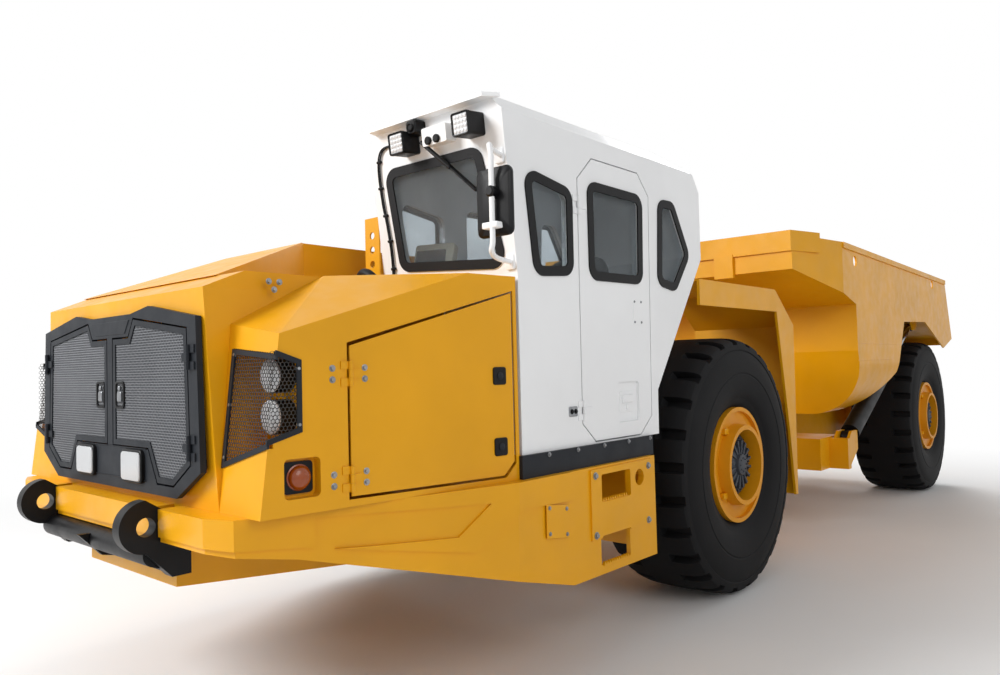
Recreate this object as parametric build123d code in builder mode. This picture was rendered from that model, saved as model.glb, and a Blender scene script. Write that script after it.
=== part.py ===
import os
from math import atan2, cos, degrees, hypot, radians, sin, tan

from build123d import *

# Articulated underground dump truck. Millimetres, +Z up. The truck faces -Y, its left side is +X, and
# the origin lies on the ground under the middle of its length and width. Lengths along Y that are
# written in an outline are measured from the front axle, rearward positive.

# Driving dimensions
WHEELBASE = 5200
FRONT_REACH = 3850
TYRE_RADIUS = 875
TYRE_WIDTH = 674
TRACK_HALF = 1030
BODY_HALF_WIDTH = 1300
BUMPER_HALF_WIDTH = 1360
BOX_HALF_WIDTH = 1450
PANEL = 8
PLATE = 25
RUNNING = 0.8
SIDE_GAP = 6
SEAT_GAP = 0.3

OVERALL_LENGTH = FRONT_REACH + WHEELBASE + TYRE_RADIUS
FRONT_AXLE_Y = FRONT_REACH - OVERALL_LENGTH / 2

# Articulation joint between the two frames
HITCH_Y = 1900
HITCH_PIN_R = 60
HITCH_EAR_R = 150
HITCH_LEVELS = (560, 980)
HITCH_EAR = 80
FRAME_HALF = 440
FRAME_PLATE = 40
FRAME_BOTTOM = 540
FRAME_TOP = 1000

# Dump box
BOX_WALL = 16
BOX_FRONT_LIP = 1250
BOX_FRONT = 2280
BOX_TOP_FRONT = 2620
BOX_TOP_REAR = 2510
BOX_BOTTOM = 1060
BELLY_RADIUS = 500
BOX_REAR = 6050
ARCH_HALF = 640
TIP_Y = 5750
TIP_Z = 1250
TIP_PIN_R = 45

# Hoist cylinders
HOIST_X = BOX_HALF_WIDTH - 230
HOIST_FOOT = (2604, 826)
HOIST_EYE = (4953, 1950)
HOIST_BARREL_R = 85
HOIST_ROD_R = 45
HOIST_BARREL_LENGTH = 1500
HOIST_EYE_R = 70
HOIST_EYE_THICK = 80
HOIST_EAR = 25

# Steering cylinders
STEER_FOOT = (225, 1000)
STEER_EYE = (320, 2330)
STEER_Z = 718
STEER_BARREL_R = 50
STEER_ROD_R = 30
STEER_EYE_R = 50
STEER_EYE_THICK = 66
STEER_BARREL_LENGTH = 780

# Cab
CAB_INNER_X = 340
CAB_WALL = 50
CAB_FLOOR = 1170
CAB_TOP = 2900
CAB_FRONT = -2300
CAB_REAR = -420
CAB_MIDDLE_X = (CAB_INNER_X + BODY_HALF_WIDTH) / 2
ROOF_BEVEL = 90
DOOR_GAP = 8
GLASS = 8
SEAL = 50
SEAL_PROUD = 8

# Hood, front blocks and bumper
HOOD_FRONT = -3600
HOOD_TOP = 2010
BLOCK_INNER_X = 803
TANK_INNER_X = 880
BLOCK_REAR = -2320
BLOCK_TOP = 2015
BLOCK_FOLD_X = BODY_HALF_WIDTH - 145
BUMPER_TOP = 1060
BUMPER_REAR = -1180

os.makedirs("parts", exist_ok=True)


def side(x=0):
    """Plane across the truck at x: sketch X runs rearward from the front axle, sketch Y up."""
    return Plane(origin=(x, FRONT_AXLE_Y, 0), x_dir=(0, 1, 0), z_dir=(1, 0, 0))


def front(y=0):
    """Upright plane at y, seen from ahead: sketch X runs to the truck's left, sketch Y up."""
    return Plane(origin=(0, FRONT_AXLE_Y + y, 0), x_dir=(1, 0, 0), z_dir=(0, -1, 0))


def level(z=0):
    """Level plane at z: sketch X runs to the truck's left, sketch Y rearward from the front axle."""
    return Plane(origin=(0, FRONT_AXLE_Y, z), x_dir=(1, 0, 0), z_dir=(0, 0, 1))


def outline(points, corner=0):
    """Closed sketch through the points, its corners rounded when a radius is given."""
    with BuildSketch() as sketch:
        with BuildLine():
            Polyline(*points, close=True)
        make_face()
        if corner:
            fillet(sketch.vertices(), corner)
    return sketch.sketch


def prism(plane, points, depth, corner=0):
    """Solid from a closed outline on a plane, extruded along the plane's normal."""
    with BuildPart() as solid:
        with BuildSketch(plane):
            add(outline(points, corner))
        extrude(amount=depth)
    return solid.part


def mirrored(points):
    """Points of a half outline followed by their mirror image, for an outline symmetric in X."""
    return points + [(-x, z) for x, z in reversed(points)]


def rectangle(low_x, low_y, high_x, high_y):
    return [(low_x, low_y), (high_x, low_y), (high_x, high_y), (low_x, high_y)]


def finish(block, name):
    block.part.label = name
    export_step(block.part, f"parts/{name}.step")


# Wheels: rim with its hub ring, and tyre with staggered rows of lugs
RIM_FLANGE_R = 393
RIM_HALF = 300
RIM_LIP = 28
HUB_RING_R = 270
HUB_RING_BORE = 240
HUB_RING_REACH = 350
HUB_COVER = 190
HUB_RECESS = 150
SPINDLE_R = 100
SPINDLE_REACH = 60
CROWN_HALF = 230
SHOULDER_R = 845
SHOULDER_HALF = 310
BEAD_HALF = 262
WAIST_R = 640
LUGS = 26
LUG_GAP = 66
GROOVE_R = 822
GROOVE_START = 130
GROOVE_FOOT = TYRE_WIDTH / 2 + (SHOULDER_HALF - TYRE_WIDTH / 2) * (GROOVE_R - WAIST_R) / (SHOULDER_R - WAIST_R)
GROOVE_TURN = degrees(atan2(LUG_GAP / 2, TYRE_RADIUS))
LUG_TURN = 180 / LUGS - GROOVE_TURN
BORE_R = (RIM_FLANGE_R + SEAT_GAP) / cos(radians(LUG_TURN))


def wheel_plane(hand, y):
    return Plane(
        origin=(hand * TRACK_HALF, FRONT_AXLE_Y + y, TYRE_RADIUS),
        x_dir=(hand, 0, 0),
        z_dir=(0, -hand, 0),
    )


def tyre_pitch(hand):
    """One lug and one groove on one side of a tyre about the Z axis, flat on each outer face."""
    foot = [(BORE_R, 0), (BORE_R, BEAD_HALF), (WAIST_R, TYRE_WIDTH / 2)]
    lug = foot + [(SHOULDER_R, SHOULDER_HALF), (TYRE_RADIUS, CROWN_HALF), (TYRE_RADIUS, 0)]
    groove = foot + [(GROOVE_R, GROOVE_FOOT), (GROOVE_R, GROOVE_START), (TYRE_RADIUS, GROOVE_START), (TYRE_RADIUS, 0)]
    slices = []
    for section, half_turn, middle in ((lug, LUG_TURN, LUG_TURN), (groove, GROOVE_TURN, -GROOVE_TURN)):
        reach = TYRE_RADIUS * tan(radians(half_turn))
        with BuildPart() as piece:
            with BuildSketch(Plane.XZ):
                add(outline([(r * cos(radians(half_turn)), hand * z) for r, z in section]))
            extrude(amount=reach, both=True)
            with BuildSketch(Plane.XY.offset(-TYRE_WIDTH)):
                add(outline([(0, 0), (TYRE_RADIUS, -reach), (TYRE_RADIUS, reach)]))
            extrude(amount=2 * TYRE_WIDTH, mode=Mode.INTERSECT)
        slices.append(piece.part.rotate(Axis.Z, middle))
    return slices[0] + slices[1]


def tyre_solid():
    """Tyre about the Z axis, its lugs staggered by half a pitch between its two sides."""
    with BuildPart() as solid:
        for hand, start in ((1, 0), (-1, 180 / LUGS)):
            pitch = tyre_pitch(hand)
            with PolarLocations(0, LUGS, start_angle=start):
                add(pitch)
    return solid.part


one_tyre = tyre_solid()
for end, y in (("front", 0), ("rear", WHEELBASE)):
    for hand, word in ((1, "left"), (-1, "right")):
        hub_axis = Axis((0, FRONT_AXLE_Y + y, TYRE_RADIUS), (1, 0, 0))
        with BuildPart() as rim:
            with BuildSketch(wheel_plane(hand, y)):
                with BuildLine():
                    Polyline(
                        (SPINDLE_REACH + RUNNING, 0),
                        (SPINDLE_REACH + RUNNING, SPINDLE_R + RUNNING),
                        (-RIM_HALF, SPINDLE_R + RUNNING),
                        (-RIM_HALF, RIM_FLANGE_R),
                        (RIM_HALF, RIM_FLANGE_R),
                        (RIM_HALF, RIM_FLANGE_R - RIM_LIP),
                        (RIM_HALF - RIM_LIP, RIM_FLANGE_R - RIM_LIP),
                        (RIM_HALF - RIM_LIP, HUB_RING_R + 10),
                        (HUB_RING_REACH, HUB_RING_R),
                        (HUB_RING_REACH, HUB_RING_BORE),
                        (HUB_RECESS, HUB_RING_BORE),
                        (HUB_COVER, HUB_RECESS),
                        (HUB_COVER, 0),
                        close=True,
                    )
                make_face()
            revolve(axis=hub_axis)
        finish(rim, f"rim_{end}_{word}")
        with BuildPart() as tyre:
            hub = side(hand * TRACK_HALF).shift_origin((hand * TRACK_HALF, FRONT_AXLE_Y + y, TYRE_RADIUS))
            add(one_tyre.moved(hub.location))
        finish(tyre, f"tyre_{end}_{word}")

# Axles: beam, differential housing, brake housings and spindles
AXLE_BEAM_R = 135
DIFF_R = 250
BRAKE_R = 220
BRAKE_X = 640
for end, y in (("front", 0), ("rear", WHEELBASE)):
    with BuildPart() as axle:
        with BuildSketch(side(0).shift_origin((0, FRONT_AXLE_Y + y, TYRE_RADIUS))):
            Circle(AXLE_BEAM_R)
        extrude(amount=BRAKE_X, both=True)
        for hand in (1, -1):
            with BuildSketch(side(hand * BRAKE_X).shift_origin((hand * BRAKE_X, FRONT_AXLE_Y + y, TYRE_RADIUS))):
                Circle(BRAKE_R)
            extrude(amount=hand * (TRACK_HALF - RIM_HALF - SIDE_GAP - BRAKE_X))
            with BuildSketch(side(hand * BRAKE_X).shift_origin((hand * BRAKE_X, FRONT_AXLE_Y + y, TYRE_RADIUS))):
                Circle(SPINDLE_R)
            extrude(amount=hand * (TRACK_HALF + SPINDLE_REACH - SEAT_GAP - BRAKE_X))
        with Locations((0, FRONT_AXLE_Y + y, TYRE_RADIUS)):
            Cylinder(DIFF_R, 260, rotation=(90, 0, 0))
    finish(axle, f"{end}_axle")

# Front frame: two side plates, cross plates, floor for the cab, and the front half of the hitch
FRONT_FRAME_REAR = 1350
CLEVIS_PLATE = 50
CLEVIS_STEP = HITCH_EAR / 2 + SIDE_GAP + CLEVIS_PLATE / 2
DECK_TOP = CAB_FLOOR - SEAT_GAP
ENGINE_BOTTOM = 1100
STEER_PEDESTAL_R = 52
STEER_BEAM_TOP = 655
ARMOUR = 10
BUMPER_BEAMS = (-1900, -1300)


def cross_beam(y, low, high, half, thick=40):
    return prism(front(y), rectangle(-half, low, half, high), -thick)


with BuildPart() as front_frame:
    for hand in (1, -1):
        add(prism(
            side(hand * FRAME_HALF),
            [(-3560, 700), (-3560, 1000), (-3300, 1000), (-3200, 1050), (FRONT_FRAME_REAR, 1080),
             (FRONT_FRAME_REAR, FRAME_BOTTOM - 75), (-1200, FRAME_BOTTOM - 75)],
            -hand * FRAME_PLATE,
        ))
    add(cross_beam(-3560, 700, 1000, FRAME_HALF))
    for y in BUMPER_BEAMS:
        add(cross_beam(y, 560, BUMPER_TOP - PLATE - SEAT_GAP, BUMPER_HALF_WIDTH - ARMOUR - PLATE - SEAT_GAP))
    for y in (-2150, -1150):
        add(prism(front(y), rectangle(FRAME_HALF - FRAME_PLATE, BUMPER_TOP + SEAT_GAP, BODY_HALF_WIDTH - 60, DECK_TOP), -80))
    for y in (-2900, -1400):
        add(cross_beam(y, 800, ENGINE_BOTTOM - SEAT_GAP, FRAME_HALF, 60))
    for low, high in ((FRAME_BOTTOM - 75, HITCH_LEVELS[0] + CLEVIS_STEP + 25), (HITCH_LEVELS[1] - CLEVIS_STEP - 25, 1080)):
        add(cross_beam(FRONT_FRAME_REAR - 40, low, high, FRAME_HALF))
    for z in HITCH_LEVELS:
        for shift in (-1, 1):
            with BuildSketch(level(z + shift * CLEVIS_STEP - CLEVIS_PLATE / 2)):
                with BuildLine():
                    Line((-400, FRONT_FRAME_REAR - 40), (400, FRONT_FRAME_REAR - 40))
                    Line((400, FRONT_FRAME_REAR - 40), (HITCH_EAR_R, HITCH_Y))
                    ThreePointArc((HITCH_EAR_R, HITCH_Y), (0, HITCH_Y + HITCH_EAR_R), (-HITCH_EAR_R, HITCH_Y))
                    Line((-HITCH_EAR_R, HITCH_Y), (-400, FRONT_FRAME_REAR - 40))
                make_face()
            extrude(amount=CLEVIS_PLATE)
        with BuildSketch(level(z - CLEVIS_STEP - CLEVIS_PLATE / 2)):
            with Locations((0, HITCH_Y)):
                Circle(HITCH_PIN_R)
        extrude(amount=2 * CLEVIS_STEP + CLEVIS_PLATE)
    for hand in (1, -1):
        with BuildSketch(level(STEER_BEAM_TOP)):
            with Locations((hand * STEER_FOOT[0], STEER_FOOT[1])):
                Circle(STEER_PEDESTAL_R)
        extrude(amount=STEER_Z - STEER_EYE_THICK / 2 - SIDE_GAP - STEER_BEAM_TOP)
        with BuildSketch(level(STEER_BEAM_TOP)):
            with Locations((hand * STEER_FOOT[0], STEER_FOOT[1])):
                Circle(22)
        extrude(amount=STEER_Z + STEER_EYE_THICK / 2 + SIDE_GAP - STEER_BEAM_TOP)
    add(cross_beam(STEER_FOOT[1] - 70, FRAME_BOTTOM - 75, STEER_BEAM_TOP, FRAME_HALF, 140))
    with BuildSketch(side(-FRAME_HALF)):
        with Locations((0, TYRE_RADIUS)):
            Circle(AXLE_BEAM_R + SEAT_GAP)
    extrude(amount=2 * FRAME_HALF, mode=Mode.SUBTRACT)
finish(front_frame, "front_frame")

# Towing crossmember with its two lugs
LUG_X = 540
LUG_EYE = (-3745, 995)
LUG_EYE_R = 38
LUG_R = 105
LUG_THICK = 60

# Bumper: a plate skirt round the front of the truck, an armour plate on it, and the steps in its rear ends
BUMPER_PLAN = [
    (930, -3700), (1060, -3650), (BUMPER_HALF_WIDTH, -2400), (BUMPER_HALF_WIDTH, BUMPER_REAR),
]
BUMPER_SIDE = [
    (-3750, 940), (-3410, 880), (-2550, 650), (-1980, 500), (BUMPER_REAR + 50, 500),
    (BUMPER_REAR + 50, BUMPER_TOP), (-3750, BUMPER_TOP),
]
ARMOUR_SIDE = [
    (-3750, 955), (-3410, 925), (-2635, 780), (-2378, 933), (-1980, 921), (-1980, BUMPER_TOP),
    (-3750, BUMPER_TOP),
]
ARMOUR_RECESS = [(-3350, 1030), (-2550, 984), (-2720, 860), (-3080, 884), (-3350, 905)]
STEP_PLATE = (-1830, 690, -1230, BUMPER_TOP - 12)
STEP_UPPER = (-1735, 873, -1455, 1016)
STEP_LOWER = (-1740, 545, -1460, 700)
GRAB_HOLE = (-1362, 958)
GRAB_HOLE_R = 45


def bumper_outline(inset):
    """Half plan of the bumper, moved in from its outer face."""
    return [(930 - inset / 2, -3700 + inset), (1060 - inset, -3650 + inset), (BUMPER_HALF_WIDTH - inset, -2400),
            (BUMPER_HALF_WIDTH - inset, BUMPER_REAR + (60 if inset > ARMOUR else 0))]


def bumper_layer(inset, side_outline):
    with BuildPart() as layer:
        with BuildSketch(level(400)):
            add(outline(mirrored(bumper_outline(inset))))
        extrude(amount=800)
        add(prism(side(-2000), side_outline, 4000), mode=Mode.INTERSECT)
    return layer.part


with BuildPart() as front_bumper:
    add(bumper_layer(0, ARMOUR_SIDE))
    add(bumper_layer(0, rectangle(*STEP_PLATE)))
    add(prism(side(-2000), ARMOUR_RECESS, 4000), mode=Mode.SUBTRACT)
    add(bumper_layer(ARMOUR, BUMPER_SIDE))
    with BuildSketch(level(400)):
        add(outline(mirrored(bumper_outline(ARMOUR + PLATE))))
    extrude(amount=BUMPER_TOP - PLATE - 400, mode=Mode.SUBTRACT)
    with BuildSketch(level(BUMPER_TOP - 100)):
        add(outline(mirrored([(820, -3400), (1050, -2400), (BUMPER_HALF_WIDTH - 120, BUMPER_REAR + 60)])))
    extrude(amount=200, mode=Mode.SUBTRACT)
    for low_y, low_z, high_y, high_z in (STEP_UPPER, STEP_LOWER):
        add(prism(side(-2000), rectangle(low_y, low_z, high_y, high_z), 4000, 12), mode=Mode.SUBTRACT)
    with BuildSketch(side(-2000)):
        with Locations(GRAB_HOLE):
            Circle(GRAB_HOLE_R)
    extrude(amount=4000, mode=Mode.SUBTRACT)
    for hand in (1, -1):
        add(prism(front(-3600), rectangle(hand * LUG_X - LUG_THICK / 2 - 5, 700, hand * LUG_X + LUG_THICK / 2 + 5, 1200),
                  200), mode=Mode.SUBTRACT)
finish(front_bumper, "front_bumper")

with BuildPart() as tow_crossmember:
    for hand in (1, -1):
        with BuildSketch(side(hand * LUG_X - LUG_THICK / 2)):
            with BuildLine():
                Polyline((LUG_EYE[0], LUG_EYE[1] + LUG_R), (-3640, 1030), (-3560 - SEAT_GAP, 1000),
                         (-3560 - SEAT_GAP, 780), (-3640, 780), (LUG_EYE[0], LUG_EYE[1] - LUG_R))
                ThreePointArc((LUG_EYE[0], LUG_EYE[1] - LUG_R), (LUG_EYE[0] - LUG_R, LUG_EYE[1]),
                              (LUG_EYE[0], LUG_EYE[1] + LUG_R))
            make_face()
            with Locations(LUG_EYE):
                Circle(LUG_EYE_R, mode=Mode.SUBTRACT)
        extrude(amount=LUG_THICK)
    add(prism(front(-3560 - SEAT_GAP), rectangle(-LUG_X, 780, LUG_X, 900), 60))
    with BuildSketch(side(-LUG_X)):
        with BuildLine():
            Polyline((-3600, 880), (-3600, 920), (-3700, 925))
            ThreePointArc((-3700, 925), (-3745, 880), (-3715, 830))
            Polyline((-3715, 830), (-3600, 790), (-3600, 880))
        make_face()
    extrude(amount=2 * LUG_X)
    add(prism(side(-PLATE / 2), [(-3650, 900), (-3790, 905), (-3690, 800), (-3600, 780)], PLATE))
finish(tow_crossmember, "tow_crossmember")

# Centre hood over the radiator and engine
HOOD_SIDE = [(HOOD_FRONT, BUMPER_TOP + SEAT_GAP), (HOOD_FRONT - 20, 1935), (-3440, HOOD_TOP), (CAB_FRONT - 10, HOOD_TOP),
             (CAB_FRONT - 10, BUMPER_TOP + SEAT_GAP)]
HOOD_SECTION = [(870, BUMPER_TOP - 10), (800, 1935), (800, 2100)]
BRACKET = (CAB_INNER_X - 126, HOOD_TOP - 2, CAB_INNER_X - SIDE_GAP, 2440)
BRACKET_Y = -2325
BRACKET_HOLES = (2100, 2180, 2260, 2340)
GRILLE_HOLE = mirrored([(600, 1110), (790, 1215), (765, 1800), (385, 1860)])


def hood_solid(inset):
    points = [(y + inset if y < -3000 else y + 4 * inset, z - inset if z > 1500 else z) for y, z in HOOD_SIDE]
    section = [(x - inset, z) for x, z in HOOD_SECTION]
    with BuildPart() as solid:
        add(prism(side(-1000), points, 2000))
        add(prism(front(-2000), mirrored(section), 2000), mode=Mode.INTERSECT)
    return solid.part


hood_outer = hood_solid(0)
hood_inner = hood_solid(PANEL)
with BuildPart() as hood:
    add(hood_outer)
    add(hood_inner, mode=Mode.SUBTRACT)
    add(prism(side(-1000), rectangle(-3500, 1000, -2000, BUMPER_TOP + 60), 2000), mode=Mode.SUBTRACT)
    add(prism(front(-3500), GRILLE_HOLE, 200), mode=Mode.SUBTRACT)
    with BuildSketch(front(BRACKET_Y)):
        add(outline(rectangle(*BRACKET)))
        with Locations([(BRACKET[0] + 60, z) for z in BRACKET_HOLES]):
            Circle(20, mode=Mode.SUBTRACT)
    extrude(amount=10)
finish(hood, "hood")

# Raised engine cover on the right half: it climbs from the hood's front edge, its left flank runs back at a slant
COVER_TOP = 2305
COVER_RIGHT_X = -800
COVER_REAR = -1030
COVER_LOW = CAB_FLOOR
COVER_LEFT_X = 330
COVER_PLAN = [(COVER_RIGHT_X, -3455), (600, -3455), (0, -2600), (0, COVER_REAR), (COVER_RIGHT_X, COVER_REAR)]
COVER_SIDE = [(-3455, HOOD_TOP + SEAT_GAP + 1), (-2620, COVER_TOP), (COVER_REAR - 80, COVER_TOP), (COVER_REAR, COVER_TOP - 80),
              (COVER_REAR, HOOD_TOP)]


def cover_solid(inset, base):
    """The raised part over the hood and the lower part behind it, moved in by an inset."""
    with BuildPart() as raised:
        with BuildSketch(side(-1000)):
            add(outline(COVER_SIDE + [(COVER_REAR, base), (-3455, base)]))
            if inset:
                offset(amount=-inset, kind=Kind.INTERSECTION, mode=Mode.REPLACE)
        extrude(amount=2000)
        with BuildSketch(level(0)):
            add(outline(COVER_PLAN))
            if inset:
                offset(amount=-inset, kind=Kind.INTERSECTION, mode=Mode.REPLACE)
        extrude(amount=3000, mode=Mode.INTERSECT)
    lower = prism(level(COVER_LOW - 8 * inset), rectangle(-TANK_INNER_X + inset, CAB_FRONT - 5 - 8 * inset,
                                                          COVER_LEFT_X - inset, COVER_REAR - inset),
                  HOOD_TOP + SEAT_GAP - inset - COVER_LOW + 8 * inset)
    return raised.part + lower


with BuildPart() as engine_cover:
    add(cover_solid(0, HOOD_TOP + SEAT_GAP))
    add(cover_solid(PANEL, HOOD_TOP - 3 * PANEL), mode=Mode.SUBTRACT)
finish(engine_cover, "engine_cover")

# Front blocks beside the hood: a leaning front, two facets on top, pockets for the lamps and the turn signal,
# and an opening that the access door closes
ACCESS_DOOR = [(-3220, 1100), (-2410, 1090), (-2345, 1150), (-2345, 1935), (-3220, 1690)]
BLOCK_FRONT = -3600
BLOCK_BASE = BUMPER_TOP + SEAT_GAP
BLOCK_LEAN = 7
FOLD_TOP = (BLOCK_FOLD_X + 8, -3513, 1738)
FACET_TOP = (BLOCK_INNER_X, -3050, BLOCK_TOP)
BLOCK_FACETS = (
    ((BLOCK_INNER_X, -3520, 1786), FOLD_TOP, FACET_TOP),
    (FOLD_TOP, (BODY_HALF_WIDTH - 20, -2600, BLOCK_TOP), FACET_TOP),
)
HINGE_R = 9
HINGE_PIN_R = 5
HINGE_LEAF = 6
HINGE_HEIGHT = 99
BLOCK_TURN = degrees(atan2(BODY_HALF_WIDTH - BLOCK_FOLD_X, BLOCK_REAR - BLOCK_FRONT))
DOOR_THICK = 30
LAMP_WALL = -3385
GUARD_FRONT = [(860, 1236), (BLOCK_FOLD_X + 40, 1334), (BLOCK_FOLD_X + 40, 1668), (855, 1700)]
GUARD_SIDE = [(-3700, 1290), (-3430, 1367), (-3430, 1637), (-3700, 1735)]
GUARD_BAR = 20
SIGNAL = (-3430, 1195)
SIGNAL_SIZE = 150
SIGNAL_DEPTH = 45


def block_front_plane(depth=0):
    """Plane of the blocks' leaning front: sketch X to the left, sketch Y up the lean from the ground."""
    lean = radians(BLOCK_LEAN)
    foot = BLOCK_FRONT - BLOCK_BASE * sin(lean) / cos(lean)
    return Plane(origin=(0, FRONT_AXLE_Y + foot + depth, 0), x_dir=(1, 0, 0), z_dir=(0, -cos(lean), sin(lean)))


def block_side_plane(hand, depth=0):
    """Plane of a block's outer face: sketch X is the distance behind the front axle, sketch Y is up."""
    turn = radians(BLOCK_TURN)
    run = Vector(hand * sin(turn), cos(turn), 0)
    out = Vector(hand * cos(turn), -sin(turn), 0)
    front_edge = Vector(hand * BLOCK_FOLD_X, FRONT_AXLE_Y + BLOCK_FRONT, 0)
    return Plane(origin=front_edge - out * depth - run * BLOCK_FRONT, x_dir=run, z_dir=out * hand)


def facet_plane(corners, hand, depth):
    """Plane through three corners of a facet, lowered by a depth, its normal up."""
    first, second, third = (Vector(hand * x, FRONT_AXLE_Y + y, z) for x, y, z in corners)
    normal = (second - first).cross(third - first).normalized()
    if normal.Z < 0:
        normal = -normal
    return Plane(origin=first - normal * depth, z_dir=normal)


def hand_points(points, hand):
    return [(hand * x, y) for x, y in points]


def block_solid(hand, inset):
    """A block's whole body, moved in from its outer faces and left open behind, below and to the hood."""
    reach = 60 if inset else 0
    base = BLOCK_BASE - reach
    with BuildPart() as solid:
        with BuildSketch(level(base)):
            add(outline(hand_points(
                [(BLOCK_INNER_X - reach, -3800), (BLOCK_FOLD_X - inset - 22.6, -3800),
                 (BODY_HALF_WIDTH - inset, BLOCK_REAR), (BODY_HALF_WIDTH - inset, BLOCK_REAR + reach),
                 (BLOCK_INNER_X - reach, BLOCK_REAR + reach)] if inset else
                [(BLOCK_INNER_X, -3800), (BLOCK_FOLD_X - 22.6, -3800), (BODY_HALF_WIDTH, BLOCK_REAR),
                 (BLOCK_INNER_X, BLOCK_REAR)], hand)))
        extrude(amount=BLOCK_TOP - inset - base)
        split(bisect_by=block_front_plane(inset), keep=Keep.BOTTOM)
        for corners in BLOCK_FACETS:
            split(bisect_by=facet_plane(corners, hand, inset), keep=Keep.BOTTOM)
    return solid.part


def hinge(axis, z, door_leaf, frame_leaf):
    """Door half and frame half of a hinge on an upright pin, from the plan outlines of its two leaves."""
    knuckle = HINGE_HEIGHT / 3
    with BuildPart() as door_half:
        with BuildSketch(level(z - knuckle / 2)):
            with Locations(axis):
                Circle(HINGE_R)
            add(outline(door_leaf))
            with Locations(axis):
                Circle(HINGE_PIN_R + RUNNING, mode=Mode.SUBTRACT)
        extrude(amount=knuckle)
    with BuildPart() as frame_half:
        for foot in (z - HINGE_HEIGHT / 2, z + knuckle / 2 + 1):
            with BuildSketch(level(foot)):
                with Locations(axis):
                    Circle(HINGE_R)
                add(outline(frame_leaf))
            extrude(amount=knuckle - 1)
        with BuildSketch(level(z - knuckle)):
            with Locations(axis):
                Circle(HINGE_PIN_R)
        extrude(amount=2 * knuckle)
    return door_half.part, frame_half.part


def block_x(y):
    """How far out the side face of a front block is at y."""
    return BLOCK_FOLD_X + (y - BLOCK_FRONT) * (BODY_HALF_WIDTH - BLOCK_FOLD_X) / (BLOCK_REAR - BLOCK_FRONT)


def guard_ring(plane, points, depth):
    """Bar round the edge of a lamp opening."""
    with BuildPart() as ring:
        with BuildSketch(plane):
            add(outline(points))
            offset(amount=-GUARD_BAR, kind=Kind.INTERSECTION, mode=Mode.SUBTRACT)
        extrude(amount=depth)
    return ring.part


ACCESS_HINGE = (block_x(-3224.4) + 10, -3224.4)
ACCESS_HINGE_Z = (1170, 1580)
ACCESS_DOOR_LEAF = [(block_x(-3218) - 1, -3218), (block_x(-3180) - 1, -3180), (block_x(-3180) + HINGE_LEAF, -3180),
                    (block_x(-3222) + HINGE_LEAF, -3222)]
ACCESS_FRAME_LEAF = [(block_x(-3265) - 1, -3265), (block_x(-3233) - 1, -3233), (block_x(-3227) + HINGE_LEAF, -3227),
                     (block_x(-3265) + HINGE_LEAF, -3265)]
fenders = []
for hand, word in ((1, "left"), (-1, "right")):
    opening = prism(block_side_plane(hand, DOOR_THICK * 2),
                    [(y - 12 if y < -3000 else y + 12, z - 12 if z < 1400 else z + 12) for y, z in ACCESS_DOOR],
                    hand * DOOR_THICK * 3)
    block = block_solid(hand, 0)
    hinges = [hinge((hand * ACCESS_HINGE[0], ACCESS_HINGE[1]), z, hand_points(ACCESS_DOOR_LEAF, hand),
                    hand_points(ACCESS_FRAME_LEAF, hand)) for z in ACCESS_HINGE_Z]
    with BuildPart() as fender:
        add(block)
        add(block_solid(hand, PANEL), mode=Mode.SUBTRACT)
        add(opening, mode=Mode.SUBTRACT)
        add(block & prism(front(LAMP_WALL), hand_points(rectangle(BLOCK_INNER_X, BLOCK_BASE, 1300, 2100), hand), -PANEL))
        with BuildSketch(block_side_plane(hand, SIGNAL_DEPTH + PANEL)):
            with Locations(SIGNAL):
                RectangleRounded(SIGNAL_SIZE + 2 * PANEL, SIGNAL_SIZE + 2 * PANEL, 28)
        extrude(amount=hand * (SIGNAL_DEPTH + PANEL - 1))
        with BuildSketch(block_side_plane(hand, SIGNAL_DEPTH)):
            with Locations(SIGNAL):
                RectangleRounded(SIGNAL_SIZE, SIGNAL_SIZE, 20)
        extrude(amount=hand * 2 * SIGNAL_DEPTH, mode=Mode.SUBTRACT)
        guard_front = prism(block_front_plane(3 * PANEL), hand_points(GUARD_FRONT, hand), 4 * PANEL)
        guard_side = prism(block_side_plane(hand, 3 * PANEL), GUARD_SIDE, hand * 4 * PANEL)
        guard_room = block & prism(side(hand * 700), rectangle(-3700, 1200, LAMP_WALL - 20, 1800), hand * 700)
        add(guard_front & guard_room, mode=Mode.SUBTRACT)
        add(guard_side & guard_room, mode=Mode.SUBTRACT)
        add(hood_solid(-SEAT_GAP), mode=Mode.SUBTRACT)
        add([frame_half for door_half, frame_half in hinges])
    finish(fender, f"fender_{word}")
    fenders.append(fender.part)
    with BuildPart() as access_door:
        add(prism(block_side_plane(hand, PANEL), ACCESS_DOOR, hand * PANEL))
        add([door_half for door_half, frame_half in hinges])
    finish(access_door, f"access_door_{word}")

# Grille: dark frame with two framed doors, and the bars round the lamp openings of the blocks
GRILLE_FRAME = mirrored([(623, 1098), (818, 1213), (790, 1820), (385, 1886), (215, 1862)])
GRILLE_BACK = mirrored([(590, 1112), (780, 1218), (757, 1797), (380, 1857)])
GRILLE_OPEN = [(26, 1280), (375, 1280), (455, 1140), (600, 1140), (745, 1235), (722, 1780), (240, 1845), (190, 1765),
               (26, 1765)]
GRILLE_DOOR = [(34, 1288), (380, 1288), (460, 1148), (597, 1148), (737, 1239), (714, 1774), (243, 1836), (193, 1757),
               (34, 1757)]
GRILLE_BASE = 22
GRILLE_FRONT = HOOD_FRONT - GRILLE_BASE
GRILLE_DEPTH = 25
GRILLE_FACE = GRILLE_FRONT - GRILLE_DEPTH
GRILLE_HINGE = (745, GRILLE_FACE - HINGE_R - 0.5)
GRILLE_HINGE_Z = (1305, 1660)
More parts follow.
